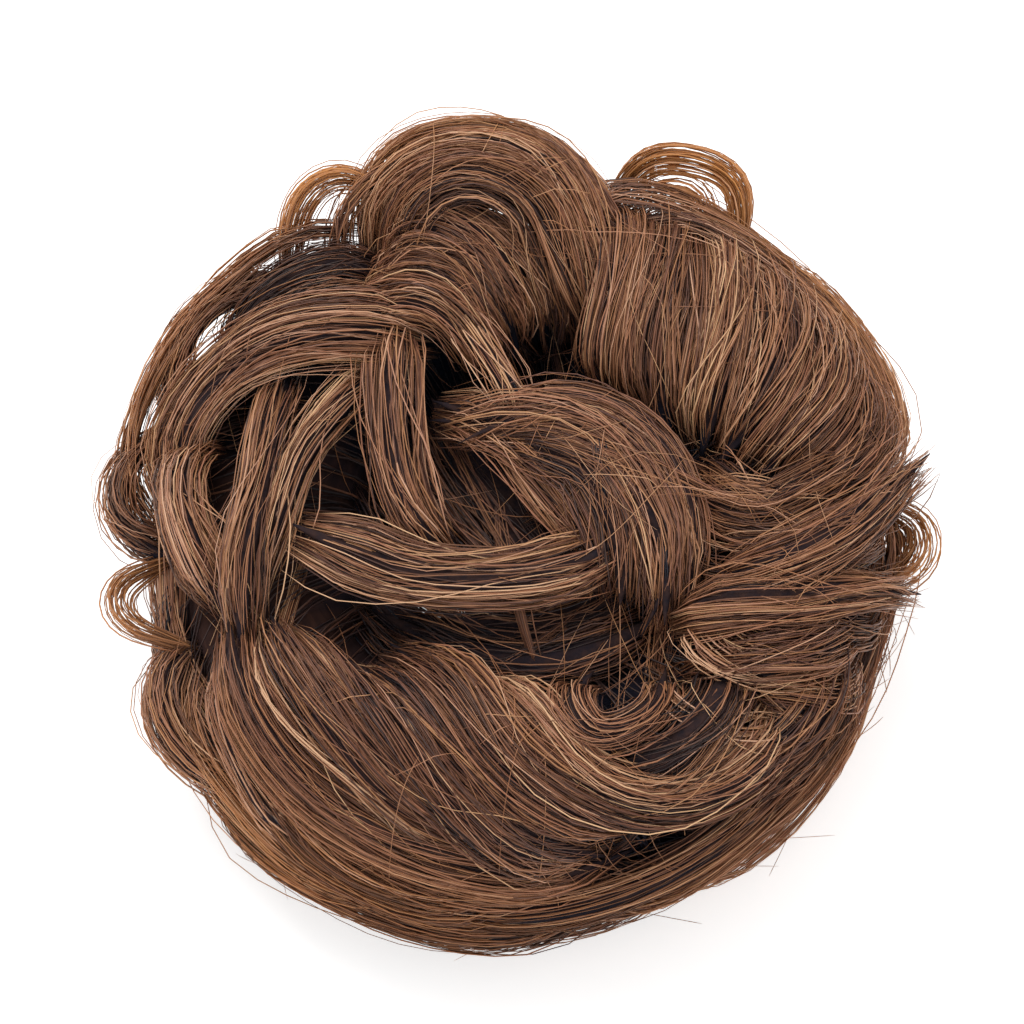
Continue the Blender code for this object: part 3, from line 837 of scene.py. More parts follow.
# %% Comb strands along a lock
LEAST_STRANDS = 8
CLUMP_WIDTH = 2.6       # mm; hair gathers in clumps of this width
CLUMP_WANDER = 0.36     # radians that a clump wanders round the lock
CLUMP_RISE = 0.75       # mm that a clump rises and sinks
CLUMP_SUNK = 0.4        # mm that it lies under the lock's surface on average
CLUMP_TWIST = 0.9       # radians that its strands turn round each other
ALONE = 0.52            # share of the strands that keep to no clump
ALONE_DEPTHS = (-2.2, 0.25)     # mm from the lock's surface, outward
FRIZZ = 0.12            # mm of fine wave on each strand
SWING = (0.8, 4.0)      # mm that a loose strand sways over its neighbours
STANDS_OFF = (0.2, 1.3)         # mm that it stands proud
TUCK = 2.4              # mm that a lock's ends dip
BLUNT_TUCK = 0.8        # mm that the root of a cut lock dips
BLUNT_NARROWS = 0.55    # share of its width that a cut lock loses towards its tip
CLUMP_TONE = 0.14       # spread of tone between clumps, and between strands
STRAND_TONE = 0.09


def comb(course, density, around=(-0.4, math.pi + 0.4), loose=0.13, blunt=False, widen=1.08,
         fray=0.0, backlit=0.4):
    """The strands of one lock, as arrays with a row for each strand."""
    lock = course.lock
    count = max(LEAST_STRANDS, round(lock.width * density))
    steps = even_steps(course)
    clumps = max(3, round((lock.width + lock.thick) * 1.1 / CLUMP_WIDTH))
    member = rng.integers(clumps, size=count)
    own = np.linspace(0, 1, steps)[None, :]
    start = rng.uniform(0, 0.05 if fray else 0.12, (count, 1))
    end = rng.uniform(0.78 if blunt else 0.84, 1.0, (count, 1))
    share = start + (end - start) * own
    line, side, up = between(course, share)
    size = 0.35 + 0.65 * swell(share, blunt)
    if blunt:
        size = size * (1 - BLUNT_NARROWS * np.clip((share - 0.45) / 0.55, 0, 1))

    def each_clump(values):
        return values[member][:, None]

    phase = rng.uniform(0, math.tau, (3, clumps))
    wave = rng.uniform(0.5, 1.3, clumps)
    turn = np.linspace(*around, clumps) + rng.normal(0, 0.12, clumps)
    along = math.tau * each_clump(wave) * share
    turn = each_clump(turn) + CLUMP_WANDER * np.sin(along + each_clump(phase[0]))
    alone = rng.random((count, 1)) < ALONE
    turn = np.where(alone, rng.uniform(*around, (count, 1)), turn)
    depth = CLUMP_RISE * np.sin(along * 1.3 + each_clump(phase[1])) - CLUMP_SUNK
    layer = rng.uniform(*ALONE_DEPTHS, (count, 1))
    depth = np.where(alone, layer, depth)
    disc = CLUMP_WIDTH * 0.6 * np.sqrt(rng.uniform(0, 1, (count, 1))) * size
    twist = rng.uniform(0, math.tau, (count, 1))
    roll = twist + each_clump(rng.normal(0, CLUMP_TWIST, clumps)) * share
    across = (lock.width / 2 * size * widen - 0.4 + depth) * np.cos(turn) + disc * np.cos(roll)
    out = (lock.thick / 2 * size - 0.3 + depth) * np.sin(turn) + disc * np.sin(roll) * 0.75

    frizz = rng.uniform(0, math.tau, (4, count, 1))
    across += FRIZZ * np.sin(share * course.length * 0.35 + frizz[0])
    out += FRIZZ * np.sin(share * course.length * 0.28 + frizz[1])
    astray = rng.random((count, 1)) < loose
    swing = rng.uniform(*SWING, (count, 1)) * rng.choice((-1, 1), (count, 1))
    bends = math.pi * own * rng.uniform(0.8, 1.8, (count, 1))
    across += astray * swing * np.sin(bends + frizz[2] * 0.2)
    out += astray * rng.uniform(*STANDS_OFF, (count, 1)) * np.sin(math.pi * own)
    spread = fray * np.clip((share - 0.7) / 0.3, 0, 1) ** 1.5
    across += spread * rng.normal(0, 1, (count, 1))
    out += spread * rng.normal(0, 0.7, (count, 1))
    ends = np.clip(1 - 7 * own, 0, 1) + (0 if blunt else 1) * np.clip(7 * own - 6, 0, 1)
    out -= (BLUNT_TUCK if blunt else TUCK) * ends

    points = line + side * across[..., None] + up * out[..., None]
    points[..., 2] = np.maximum(points[..., 2], CLEAR_OF_FLOOR)
    radius = rng.uniform(THINNEST, THICKEST, (count, 1)) * np.where(astray, 0.7, 1.0) * taper(own)
    # Painted shade: the deeper a strand lies in the lock, and the lower in its clump, the darker it is;
    # strands on top are lighter. Loose strands are made lighter too.
    proud = np.where(alone, (depth + 0.8) * 0.15, np.sin(roll) * disc * 0.09 + depth * 0.06 + 0.03)
    tone = (lock.tone + each_clump(rng.normal(0, CLUMP_TONE, clumps))
            + rng.normal(0, STRAND_TONE, (count, 1)) + proud
            + astray * 0.14 + (share - 0.5) * rng.normal(0.02, 0.12, (count, 1)))
    return Strands(points, radius, np.clip(tone, 0.02, 1), edge_light(points, most=backlit))


# %% [markdown]
# Where two locks run side by side, hair also lies between them, so a comb drawn through
# the curtain or the diagonals would pull one sheet. These strands are mixed from the
# courses of both locks, and dip a little in the crease. Without them the locks look
# like ropes laid side by side.

# %% Strands between two locks
SIDE_BY_SIDE = (
    "curtain_1 curtain_2", "curtain_2 curtain_3", "curtain_3 curtain_4", "curtain_4 curtain_5",
    "curtain_5 curtain_6", "curtain_6 curtain_rim", "arch_outer arch_middle", "arch_middle arch_inner",
    "arch_outer arch_back", "arch_fan_1 arch_fan_2", "arch_fan_2 arch_fan_3",
    "diagonal_1 diagonal_2", "diagonal_2 diagonal_3", "diagonal_3 diagonal_4",
    "diagonal_4 front_rim_upper", "front_rim_upper front_rim_lower", "long_arc diagonal_1",
    "front_right_upper front_right_rim", "right_band right_low", "right_sweep right_band",
    "right_band right_fill_1", "right_low right_fill_2",
    "crown_over crown_inner",
)
by_name = {course.lock.name: course for group in courses.values() for course in group}


def comb_between(first, second, density):
    """Strands that lie on and between two locks."""
    count = round((first.lock.width + second.lock.width) / 2 * density)
    length = (first.length + second.length) / 2
    steps = even_steps(first, second)
    own = np.linspace(0, 1, steps)[None, :]
    start = rng.uniform(0.02, 0.25, (count, 1))
    end = rng.uniform(0.70, 0.98, (count, 1))
    share = start + (end - start) * own
    mix = rng.uniform(-0.1, 1.1, (count, 1)) + rng.normal(0, 0.10, (count, 1)) * np.sin(math.tau * share)
    one, other = between(first, share), between(second, share)
    line, side, up = (a + (b - a) * mix[..., None] for a, b in zip(one, other))
    half = (first.lock.thick + second.lock.thick) / 4
    crease = 4 * mix * (1 - mix)
    height = rng.normal(-0.15, 0.45, (count, 1))
    out = half * (1.02 - 0.34 * crease) + height
    out -= 2.2 * (np.clip(1 - 5 * own, 0, 1) + np.clip(5 * own - 4, 0, 1))
    frizz = rng.uniform(0, math.tau, (2, count, 1))
    across = 0.25 * np.sin(share * length * 0.22 + frizz[0])
    out = out + 0.12 * np.sin(share * length * 0.3 + frizz[1])
    points = line + unit(side) * across[..., None] + unit(up) * out[..., None]
    radius = rng.uniform(THINNEST, THICKEST * 0.85, (count, 1)) * taper(own, 0.2)
    # Painted shade: lower strands, and strands in the crease between two locks, are darker.
    tone = (first.lock.tone * (1 - mix) + second.lock.tone * mix + rng.normal(0, 0.12, (count, 1))
            + height * 0.16 - crease * 0.07 + (share - 0.5) * rng.normal(0.02, 0.10, (count, 1)))
    return Strands(points, radius, np.clip(tone, 0.02, 1), edge_light(points))


# %% [markdown]
# The loops at the edge are see-through. Their strands meet at both ends and fan out
# between, with the background showing through.

# %% Fan strands along a loop
LOOP_LIGHT = (0.22, 0.8)        # light from behind: the least, and what the outline adds
LOOP_CLUMPS = 5         # the strands of a loop gather in one more than this


def fan(course, count, inward, outward):
    """Sparse strands that part in the middle of a loop."""
    steps = even_steps(course) + 4
    own = np.linspace(0, 1, steps)[None, :]
    start = rng.uniform(0, 0.10, (count, 1))
    share = start + (rng.uniform(0.90, 1.0, (count, 1)) - start) * own
    line, side, up = between(course, share)
    part = np.sin(math.pi * share) ** 0.8
    gather = np.round(rng.uniform(0, 1, (count, 1)) * LOOP_CLUMPS) / LOOP_CLUMPS
    gather = gather + rng.normal(0, 0.07, (count, 1))
    out = (-inward + (inward + outward) * gather) * part
    across = rng.normal(0, 0.9, (count, 1)) * (0.3 + part)
    frizz = rng.uniform(0, math.tau, (2, count, 1))
    across += 0.25 * np.sin(share * course.length * 0.25 + frizz[0])
    out += 0.15 * np.sin(share * course.length * 0.3 + frizz[1])
    points = line + side * across[..., None] + up * out[..., None]
    radius = rng.uniform(THINNEST, 0.17, (count, 1)) * taper(own, 0.4)
    tone = course.lock.tone + rng.normal(0, 0.15, (count, 1)) + 0 * share
    # Painted light from behind: some on every strand of a loop, more at the outline.
    return Strands(points, radius, np.clip(tone, 0.02, 1), edge_light(points, *LOOP_LIGHT))


# %% [markdown]
# Hair is also sewn straight over the padding, from the hollow over the crest and down
# the belly. It shows deep in the gaps between the locks. Each strand follows the
# padding's own outline while its clock angle runs on.

# %% Hair over the padding
OVER_THE_TOP = (9, 8, 7, 6, 5, 4, 3)     # corners of the padding's section, hollow first
BEDDING_STEPS = 13
BEDDING_SWEEPS = (12, 60)       # degrees that a strand's clock angle runs on
BEDDING_LIFTS = (0.2, 2.2)      # mm above the padding
BEDDING_RADII = (0.12, 0.24)
# Painted shade: the bedding is kept dark because it lies deep in the gaps.
BEDDING_TONE = 0.25             # dark, since it shows only deep in the gaps


def bedding(count):
    """Strands over the padding, each one turned a little from its hollow to its belly."""
    clocks, sweeps, lifts = (
        rng.uniform(*limits, count) for limits in ((0, 360), BEDDING_SWEEPS, BEDDING_LIFTS))
    lines = []
    for clock, sweep, lift in zip(clocks, sweeps, lifts):
        turns = clock + np.linspace(0, sweep, len(OVER_THE_TOP))
        corners = np.array([
            at(turn, *section_at(turn)[corner]) for turn, corner in zip(turns, OVER_THE_TOP)])
        lines.append(smooth_curve(corners + away_from_core(corners) * lift, BEDDING_STEPS)[0])
    points = np.array(lines)
    own = np.linspace(0, 1, BEDDING_STEPS)[None, :]
    radius = rng.uniform(*BEDDING_RADII, (count, 1)) * taper(own)
    tone = BEDDING_TONE + rng.normal(0, 0.12, (count, 1)) + 0 * own
    return Strands(points, radius, np.clip(tone, 0.02, 1), np.zeros(points.shape[:2]))


# %% [markdown]
# Thin wisps run along the outline, apart from the locks, and white shows between them.
# They have no core. A few golden arcs cross the gap at the right.

# %% Wisps along the outline
RIM_WISPS = (
    Lock("wisp_arch", 5, 4, 0.58,
         ((128, 56, 38), (117, 62, 46), (105, 63, 50), (92, 62, 52), (80, 57, 50), (71, 49, 44))),
    Lock("wisp_back_right", 6, 4, 0.58,
         ((88, 57, 46), (73, 60, 46), (57, 62, 43), (41, 64, 38), (23, 65, 34), (6, 61, 29))),
    Lock("wisp_back_right_high", 6, 3, 0.56,
         ((76, 56, 47), (62, 59, 46), (46, 61, 43), (31, 62, 40), (14, 62, 37))),
    Lock("wisp_back_left", 6, 4, 0.56,
         ((112, 61, 46), (126, 63, 43), (140, 65, 39), (156, 66, 36), (172, 65, 33), (186, 61, 30))),
    Lock("wisp_left_front", 7, 4, 0.52,
         ((196, 60, 30), (212, 63, 27), (230, 64, 24), (247, 64, 21), (264, 63, 19))),
    Lock("wisp_right", 6, 4, 0.50,
         ((14, 61, 31), (2, 62, 31), (-12, 60, 30), (-28, 60, 29), (-46, 60, 27), (-64, 60, 24))),
    Lock("wisp_front", 7, 4, 0.50,
         ((-150, 61, 30), (-130, 63, 26), (-110, 63, 23), (-90, 62, 22), (-70, 61, 23))),
)
GOLD_ARCS = (
    Lock("arc_long", 3, 2, 0.80,
         ((-34, 30, 46), (-43, 40, 48), (-39, 50, 46), (-30, 57, 42), (-22, 62, 36))),
    Lock("arc_short", 3, 2, 0.74, ((-28, 34, 47), (-36, 43, 48), (-30, 52, 45), (-20, 60, 39))),
    Lock("arc_front", 3, 2, 0.70, ((-52, 34, 45), (-58, 44, 47), (-50, 53, 45), (-38, 59, 40))),
)
courses["wisps"] = [course_of(lock) for lock in RIM_WISPS]
courses["arcs"] = [course_of(lock) for lock in GOLD_ARCS]

# %% [markdown]
# Locks alone look plaited. In real hair small wefts leave one lock and join the next, and
# single hairs cross at a slant. Both start on a lock, turned a little off its direction,
# and bend slowly in plan. Their height comes from dropping a ray on the cores at each
# point, so they lie on whatever is below, smoothed because hair is too stiff for small
# dips. A path ends where the hair below it ends.

# %% Paths laid over the locks
DROP_FROM = 90.0        # height that rays start from, mm
LAID_STEPS = 12
LEAST_LAID = 0.5        # share of a path that has to lie on hair
EVENED = (0.1, 0.2, 0.4, 0.2, 0.1)      # weights that smooth a path's height
FINE_RADII = (0.045, 0.085)
OPEN_GROUPS = ("back", "curtain", "right", "front", "left", "crown")


def height_under(x, y):
    """Height of the cores or the padding at a place seen from above, or None beside them."""
    hit = tree.ray_cast(Vector((x, y, DROP_FROM)), Vector((0, 0, -1)))[0]
    return None if hit is None else hit.z


def laid_path(slant, bend, length, above):
    """A path that leaves a lock at a slant, or None where it soon runs off the hair."""
    group = courses[OPEN_GROUPS[rng.integers(len(OPEN_GROUPS))]]
    course = group[rng.integers(len(group))]
    row = rng.integers(4, COURSE_POINTS - 4)
    way = course.along[row]
    along = np.linspace(0, length, LAID_STEPS)
    heading = math.atan2(way[1], way[0]) + rng.normal(0, slant) + rng.normal(0, bend) * along
    stride = np.stack([np.cos(heading), np.sin(heading)], 1) * length / (LAID_STEPS - 1)
    plan = course.line[row][:2] + course.side[row][:2] * rng.uniform(-4, 4) + stride.cumsum(0)
    found = [height_under(x, y) for x, y in plan]
    last = found.index(None) if None in found else LAID_STEPS
    if last < LAID_STEPS * LEAST_LAID:
        return None
    height = np.convolve(np.pad(found[:last], 2, mode="edge"), EVENED, mode="valid")
    return smooth_curve(np.column_stack([plan[:last], height + above]), LAID_STEPS)[0]


# %% Single hairs and small wefts laid over the locks
def laid_hairs(tries):
    """Single fine hairs that cross the locks."""
    lengths = rng.uniform(14, 60, tries)
    lines = [laid_path(0.55, 0.022, length, rng.uniform(1.5, 3.2)) for length in lengths]
    points = np.array([line for line in lines if line is not None])
    own = np.linspace(0, 1, LAID_STEPS)[None, :]
    count = len(points)
    points[..., 2] += rng.uniform(0, 1.6, (count, 1)) * np.sin(math.pi * own)
    radius = rng.uniform(*FINE_RADII, (count, 1)) * taper(own, 0.5)
    tone = rng.uniform(0.50, 0.95, (count, 1)) + 0 * own
    # Painted light from behind: a little on every fine hair, most at the outline.
    return Strands(points, radius, tone, edge_light(points, 0.10, 0.9))


def laid_weft(strands):
    """A small weft that leaves one lock and joins the next, or None."""
    line = laid_path(0.36, 0.016, rng.uniform(24, 54), rng.uniform(0.4, 1.3))
    if line is None:
        return None
    own = np.linspace(0, 1, LAID_STEPS)[None, :]
    side = unit(np.cross(np.gradient(line, axis=0), (0, 0, 1)))
    width = rng.uniform(1.2, 3.6)
    part = 0.35 + 0.65 * np.sin(math.pi * own) + rng.normal(0, 0.10, (strands, 1)) * own
    across = rng.normal(0, 0.45, (strands, 1)) * width * part
    out = rng.normal(0, 0.30, (strands, 1)) - 1.6 * np.abs(2 * own - 1) ** 3
    points = line + side * across[..., None] + np.array((0, 0, 1)) * out[..., None]
    radius = rng.uniform(THINNEST, THICKEST * 0.85, (strands, 1)) * taper(own, 0.25)
    tone = rng.normal(0.53, 0.10) + rng.normal(0, 0.11, (strands, 1)) + 0 * own
    return Strands(points, radius, np.clip(tone, 0.02, 1), edge_light(points))


def laid_wefts(tries, strands):
    """Small wefts, from as many tries as are asked for."""
    return [weft for weft in (laid_weft(strands) for number in range(tries)) if weft is not None]


# %% Short hairs that stand off the outline
FLYAWAY_STEPS = 9
AT_FRONT = 0.7          # share of the flyaways that stand at the front


def flyaways(count):
    """Short curved hairs round the edge, most of them at the front."""
    at_front = rng.random(count) < AT_FRONT
    clock = np.where(at_front, rng.uniform(-170, -5, count), rng.uniform(0, 360, count))
    reach = rng.uniform(55, 60, count)
    height = np.where(at_front, rng.uniform(4, 24, count), rng.uniform(12, 34, count))
    start = np.array([at(*place) for place in zip(clock, reach, height)])
    length = rng.uniform(6, 15, (count, 1))
    own = np.linspace(0, 1, FLYAWAY_STEPS)[None, :]
    along = own * length
    way = rng.choice((-1, 1), (count, 1))
    lean = rng.uniform(0.1, 0.7, (count, 1))
    heading = np.radians(clock)[:, None] + way * (math.pi / 2 - lean)
    heading = heading + way * along * rng.uniform(0.0, 0.06, (count, 1))
    stride = length / (FLYAWAY_STEPS - 1)
    points = np.zeros((count, FLYAWAY_STEPS, 3))
    points[..., 0] = start[:, :1] + np.cumsum(np.cos(heading), 1) * stride
    points[..., 1] = start[:, 1:2] + np.cumsum(np.sin(heading), 1) * stride
    rise = along * rng.normal(0, 0.25, (count, 1))
    points[..., 2] = np.maximum(start[:, 2:] + rise, CLEAR_OF_FLOOR)
    radius = rng.uniform(0.045, 0.075, (count, 1)) * taper(own, 0.4)
    tone = rng.uniform(0.5, 0.95, (count, 1)) + 0 * own
    # Painted light: every flyaway gets the same faint orange glow from behind.
    return Strands(points, radius, tone, np.full(points.shape[:2], 0.15))


# %% [markdown]
# Each strand becomes a three-sided tube: at the size of a hair in the picture nobody can
# count its sides, and it has the fewest triangles that still catch light from all
# around. The frame of each tube is carried from point to point, so it doesn't twist.
# With thousands of strands, arrays build the mesh in one go. Each strand has its own
# cell in a UV map, so that its colours can be baked.

# %% Tubes from strands
SIDES = 3


def tube_corners(points, radius):
    """Corners of every tube: strand, step, side, place."""
    along = unit(np.gradient(points, axis=1))
    side = np.empty_like(points)
    side[:, 0] = unit(np.cross(along[:, 0], (0.31, 0.52, 0.79)))
    for step in range(1, points.shape[1]):
        carried = side[:, step - 1]
        across = carried - (carried * along[:, step]).sum(-1, keepdims=True) * along[:, step]
        side[:, step] = unit(across)
    up = np.cross(along, side)
    turn = np.arange(SIDES) * math.tau / SIDES
    ring = np.cos(turn)[:, None] * side[:, :, None] + np.sin(turn)[:, None] * up[:, :, None]
    return points[:, :, None] + ring * radius[:, :, None, None]


def tube_faces(count, steps):
    """Side faces and end caps of tubes, as corner numbers."""
    number = np.arange(count * steps * SIDES).reshape(count, steps, SIDES)
    turned = np.roll(number, -1, axis=2)
    sides = np.stack([number[:, :-1], turned[:, :-1], turned[:, 1:], number[:, 1:]], -1).reshape(-1, 4)
    caps = np.concatenate([number[:, 0, ::-1], number[:, -1]])
    return sides, caps


# %% The map for baking
CELL_COLUMNS = 3        # cells are this many times as tall as they are wide


def cell_places(first, total, count, steps):
    """Places in the map for each side face and cap of a run of strands."""
    columns = math.ceil(math.sqrt(total * CELL_COLUMNS))
    rows = math.ceil(total / columns)
    strand = first + np.arange(count)
    left = (strand % columns)[:, None, None]
    base = (strand // columns)[:, None, None]
    u = (left + 0.06 + 0.88 * np.arange(SIDES + 1)[None, None, :] / SIDES) / columns
    v = (base + 0.05 + 0.9 * (np.arange(steps) / (steps - 1))[None, :, None]) / rows
    u, v = np.broadcast_arrays(u, v)
    grid = np.stack([u, v], -1)
    corners = [grid[:, :-1, :-1], grid[:, :-1, 1:], grid[:, 1:, 1:], grid[:, 1:, :-1]]
    sides = np.stack(corners, 3).reshape(-1, 2)
    low = np.stack([grid[:, 0, 2], grid[:, 0, 1], grid[:, 1, 0]], 1)
    high = np.stack([grid[:, -1, 0], grid[:, -1, 1], grid[:, -2, 2]], 1)
    return sides, np.concatenate([low.reshape(-1, 2), high.reshape(-1, 2)])


# %% Leave out buried strands
TESTED_EVERY = 3        # points along a strand between two tests of openness
BURIED = 0.03


def seen_part(run):
    """The strands of a run that show somewhere, and how open each of their points is."""
    count, steps = run.radius.shape
    tested = np.unique(np.append(np.arange(0, steps, TESTED_EVERY), steps - 1))
    seen = openness(run.points[:, tested].reshape(-1, 3)).reshape(count, -1)
    shows = seen.max(axis=1) > BURIED
    seen = np.stack([np.interp(np.arange(steps), tested, row) for row in seen[shows]])
    return Strands(*(part[shows] for part in run)), lit(seen)


# %% Join strands in one mesh
GOLDEN_SHARE = (0.38, 0.36)     # mean and spread of a strand's hue, from copper to golden


def mesh_of(name, runs):
    """One mesh with every tube of several runs of strands."""
    shown = [seen_part(run) for run in runs]
    total = sum(len(run.points) for run, bright in shown)
    places, quads, caps, quad_map, cap_map, fields = [], [], [], [], [], []
    start = first = 0
    for run, bright in shown:
        count, steps = run.radius.shape
        places.append(tube_corners(run.points, run.radius).reshape(-1, 3) * MM)
        sides, ends = tube_faces(count, steps)
        quads.append(sides + start)
        caps.append(ends + start)
        side_map, end_map = cell_places(first, total, count, steps)
        quad_map.append(side_map)
        cap_map.append(end_map)
        hue = np.clip(rng.normal(*GOLDEN_SHARE, (count, 1)), 0, 1) + 0 * run.tone
        # Painted shade and light: `open` darkens strands in hollows, and the glow at the outline fades
        # there too.
        values = np.stack([run.tone, run.glow * bright, bright, hue])
        fields.append(values.repeat(SIDES, axis=2).reshape(len(values), -1))
        start += count * steps * SIDES
        first += count
    mesh = bpy.data.meshes.new(name)
    fill_mesh(mesh, np.concatenate(places), np.concatenate(quads), np.concatenate(caps))
    layer = mesh.uv_layers.new(name="OFBake")
    layer.uv.foreach_set("vector", np.concatenate(quad_map + cap_map).astype(np.float32).ravel())
    for field, values in zip(("tone", "glow", "open", "hue"), np.concatenate(fields, 1)):
        write_attribute(mesh, field, values)
    print(name, "strands", total, "of", sum(len(run.points) for run in runs))
    return mesh


def fill_mesh(mesh, places, quads, caps):
    """Write points and faces to an empty mesh."""
    corners = np.concatenate([quads.ravel(), caps.ravel()]).astype(np.int32)
    starts = np.concatenate([np.arange(len(quads)) * 4, len(quads) * 4 + np.arange(len(caps)) * 3])
    mesh.vertices.add(len(places))
    mesh.vertices.foreach_set("co", places.astype(np.float32).ravel())
    mesh.loops.add(len(corners))
    mesh.loops.foreach_set("vertex_index", corners)
    mesh.polygons.add(len(starts))
    mesh.polygons.foreach_set("loop_start", starts.astype(np.int32))
    mesh.update(calc_edges=True)


# %% [markdown]
# The visible locks are combed densely and the skirt and the crown's beds more thinly,
# because little of them shows. The loops at the edge are see-through: a few clumps far
# apart, with painted light from behind.

# %% Comb the ring
DENSE = 12.8            # strands for each millimetre of a lock's width
THIN = 7
BETWEEN = 7
FACING_OUT = (0.15, math.pi - 0.15)


def combed(*groups, density=DENSE, **ways):
    """Strands of every lock in some groups, and between the locks that lie side by side."""
    members = [course for group in groups for course in courses[group]]
    names = {course.lock.name for course in members}
    runs = [comb(course, density, **ways) for course in members]
    for pair in SIDE_BY_SIDE:
        first, second = pair.split()
        if first in names:
            runs.append(comb_between(by_name[first], by_name[second], BETWEEN))
    return runs


loop_ways = {           # number of strands, and mm that they part inward and outward
    "back_loop_outer": (70, 3.5, 1.2), "back_loop_inner": (40, 3.0, 2.0),
    "left_back_loop": (60, 3.5, 1.5), "left_loop": (42, 4.0, 1.4), "right_loop": (46, 3.5, 1.6),
}
loops = [fan(by_name[name], *way) for name, way in loop_ways.items()]


def ring_piece(name, runs):
    """A piece of strands that stands for the ring of hair."""
    piece(name, mesh_of(name, runs), ring_hair, "ring_hair", "hair_ring")


ring_piece("back_hair", combed("back") + loops)
for part in ("curtain", "right", "front", "left"):
    ring_piece(part + "_hair", combed(part))
ring_piece("skirt_hair", combed("skirt", density=5))
belt_ways = {"around": FACING_OUT, "loose": 0.05}
belts = combed("low_belts", density=8.5, **belt_ways)
belts += combed("high_belts", density=4.5, **belt_ways)
ring_piece("belt_hair", belts)
ring_piece("bedding_hair", [bedding(300)])
# Painted light: wisps and arcs at the outline get the strongest glow from behind.
wisps = combed("wisps", density=11, widen=1.25, loose=0.2, backlit=1.0)
wisps += combed("arcs", density=9, widen=1.6, backlit=1.0)
ring_piece("wisps", wisps)
ring_piece("laid_wefts", laid_wefts(74, 14))
ring_piece("stray_hairs", [laid_hairs(420), flyaways(150)])

# %% Comb the crown and the tufts
crown = combed("crown", density=DENSE * 1.2, fray=0.9, widen=1.25)
crown += combed("beds", density=THIN, around=FACING_OUT)
piece("crown_hair", mesh_of("crown_hair", crown), crown_hair, "crown_hair", "crown_swirl")
tuft_ways = {"density": DENSE * 1.7, "blunt": True, "around": (0, math.tau), "fray": 1.5}
for place in ("upper", "lower"):
    strands = mesh_of(place + "_tuft_hair", combed(place, **tuft_ways))
    piece(place + "_tuft_hair", strands, tuft_hair, "tuft_hair", place + "_tuft")

# %% [markdown]
# The elastic is a round cord inside the ring, wrapped in thread. A circle spun round
# the axis gives the cord, and every second ring of points is drawn in a little, so the
# wrapping shows as ribs.

# %% The elastic
CORD_RADIUS = 1.8
CORD_SIDES = 12
WRAPS = 120
WRAP_DEPTH = 0.93       # radius of every second ring, as a share


def elastic_mesh():
    """A small circle spun round the axis, with every second ring drawn in."""
    bm = bmesh.new()
    middle = AXIS + (BAND_RADIUS - CORD_RADIUS, 0, BAND_MIDDLE)
    made = bmesh.ops.create_circle(bm, segments=CORD_SIDES, radius=CORD_RADIUS * MM)
    upright = Matrix.Rotation(math.pi / 2, 3, "X")
    bmesh.ops.rotate(bm, verts=made["verts"], cent=(0, 0, 0), matrix=upright)
    bmesh.ops.translate(bm, verts=made["verts"], vec=Vector(middle * MM))
    spin_round(bm, bm.verts[:] + bm.edges[:], WRAPS * 2)
    for vert in bm.verts:
        away = np.array(vert.co) / MM - AXIS
        clock = math.atan2(away[1], away[0])
        if round(clock / math.tau * WRAPS * 2) % 2:
            heart = at(math.degrees(clock), BAND_RADIUS - CORD_RADIUS, BAND_MIDDLE)
            vert.co = (heart + (away + AXIS - heart) * WRAP_DEPTH) * MM
    bmesh.ops.recalc_face_normals(bm, faces=bm.faces)
    return finished(bm, "elastic")


def elastic_finish():
    """Dark covering thread with a slight fuzz."""
    finish = Finish("elastic_thread")
    fuzz = finish.noise(2600, 3.0)
    colour = finish.blend(fuzz, (0.006, 0.005, 0.005, 1), (0.030, 0.022, 0.020, 1))
    bump = finish.node("ShaderNodeBump", {}, {"Height": fuzz, "Distance": 0.0002, "Strength": 0.6})
    finish.set(finish.surface, {"Base Color": colour, "Roughness": 0.8, "Normal": bump.outputs[0]})
    return finish.material


piece("elastic_cord", elastic_mesh(), elastic_finish(), "elastic", "elastic_band")

# %% [markdown]
# The scene is a white sweep with soft light from above and a little behind, as in a
# product photograph. The floor is stage, not part of the object.

# %% Floor and light
FLOOR_HALF = 3.0        # metres
FLOOR_GLOW = 0.45       # a light table: it keeps the shadow faint and lights the edge
WORLD_LIGHT = 0.75


def floor_finish():
    """Matt white that glows a little."""
    finish = Finish("white_floor")
    grain = finish.noise(30)
    colour = finish.blend(grain, (0.92, 0.92, 0.92, 1), (0.95, 0.95, 0.95, 1))
    finish.set(finish.surface, {"Base Color": colour, "Roughness": 0.9, "Specular IOR Level": 0.1,
                                "Emission Color": (1, 1, 1, 1), "Emission Strength": FLOOR_GLOW})
    return finish.material


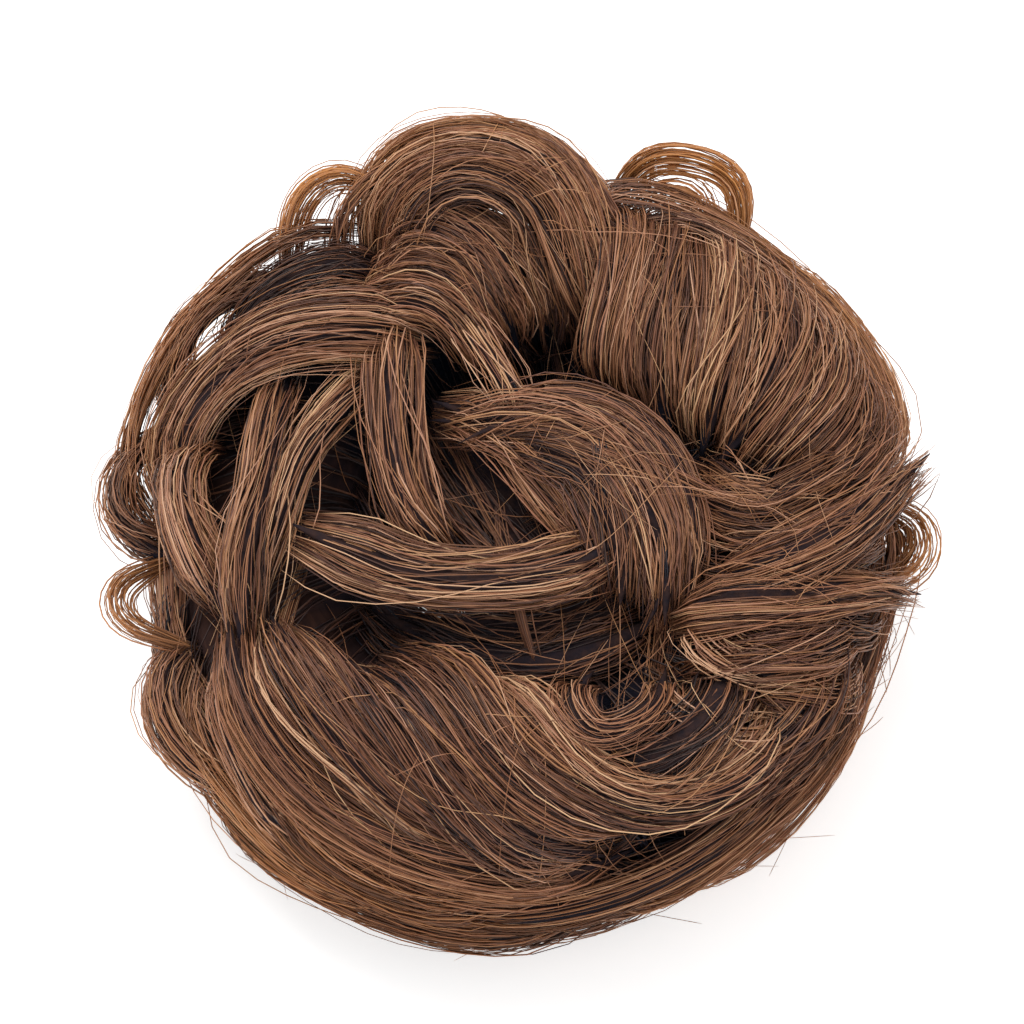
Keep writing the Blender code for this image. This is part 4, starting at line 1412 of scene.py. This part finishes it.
def make_floor():
    """A large square under the bun, which is stage."""
    bm = bmesh.new()
    bmesh.ops.create_grid(bm, x_segments=2, y_segments=2, size=FLOOR_HALF)
    mesh = finished(bm, "floor")
    mesh.materials.append(floor_finish())
    floor = bpy.data.objects.new("floor", mesh)
    bpy.context.scene.collection.objects.link(floor)
    floor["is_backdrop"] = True


def soft_light(name, place, size, power):
    """A square lamp that looks at the bun."""
    lamp = bpy.data.lights.new(name, "AREA")
    lamp.size = size
    lamp.energy = power
    thing = bpy.data.objects.new(name, lamp)
    thing.location = place
    thing.rotation_mode = "QUATERNION"
    thing.rotation_quaternion = (Vector((0, 0, 0.03)) - Vector(place)).to_track_quat("-Z", "Y")
    bpy.context.scene.collection.objects.link(thing)


make_floor()
soft_light("top_softbox", (-0.25, 0.45, 1.0), 0.7, 7.0)
soft_light("front_fill", (0.5, -0.9, 0.9), 0.9, 2.5)
world = bpy.data.worlds.new("white_studio")
world.use_nodes = True
world.node_tree.nodes["Background"].inputs["Color"].default_value = (1, 1, 1, 1)
world.node_tree.nodes["Background"].inputs["Strength"].default_value = WORLD_LIGHT
bpy.context.scene.world = world
bpy.context.scene.view_settings.view_transform = "Standard"

# %% [markdown]
# The photograph looks down at the bun from the front, at 64 degrees above the floor. A
# long lens from 0.8 m has hardly any perspective, like the photograph.

# %% Camera
LOOK_AT = np.array((-1.8, 6.3, 26.0)) * MM
ELEVATION = math.radians(64)
DISTANCE = 0.8
SEEN_WIDTH = 0.169      # width of the picture at the bun
SENSOR = 36.0

back_way = Vector((0, -math.cos(ELEVATION), math.sin(ELEVATION)))
camera_data = bpy.data.cameras.new("camera")
camera_data.sensor_width = SENSOR
camera_data.lens = SENSOR * DISTANCE / SEEN_WIDTH
camera = bpy.data.objects.new("camera", camera_data)
camera.location = Vector(LOOK_AT) + back_way * DISTANCE
camera.rotation_mode = "QUATERNION"
camera.rotation_quaternion = (-back_way).to_track_quat("-Z", "Y")
bpy.context.scene.collection.objects.link(camera)
bpy.context.scene.camera = camera

# %% [markdown]
# Both boxes, of the imported model and of the dressed one, are printed, so they can be
# compared. The dressed model has to keep the size of the imported one.

# %% Sizes and finish
dressed_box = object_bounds()
sizes = {"cad": [list(corner) for corner in cad_box], "scene": [list(corner) for corner in dressed_box]}
for label, corners in sizes.items():
    print(label, [[round(value / MM, 1) for value in corner] for corner in corners])
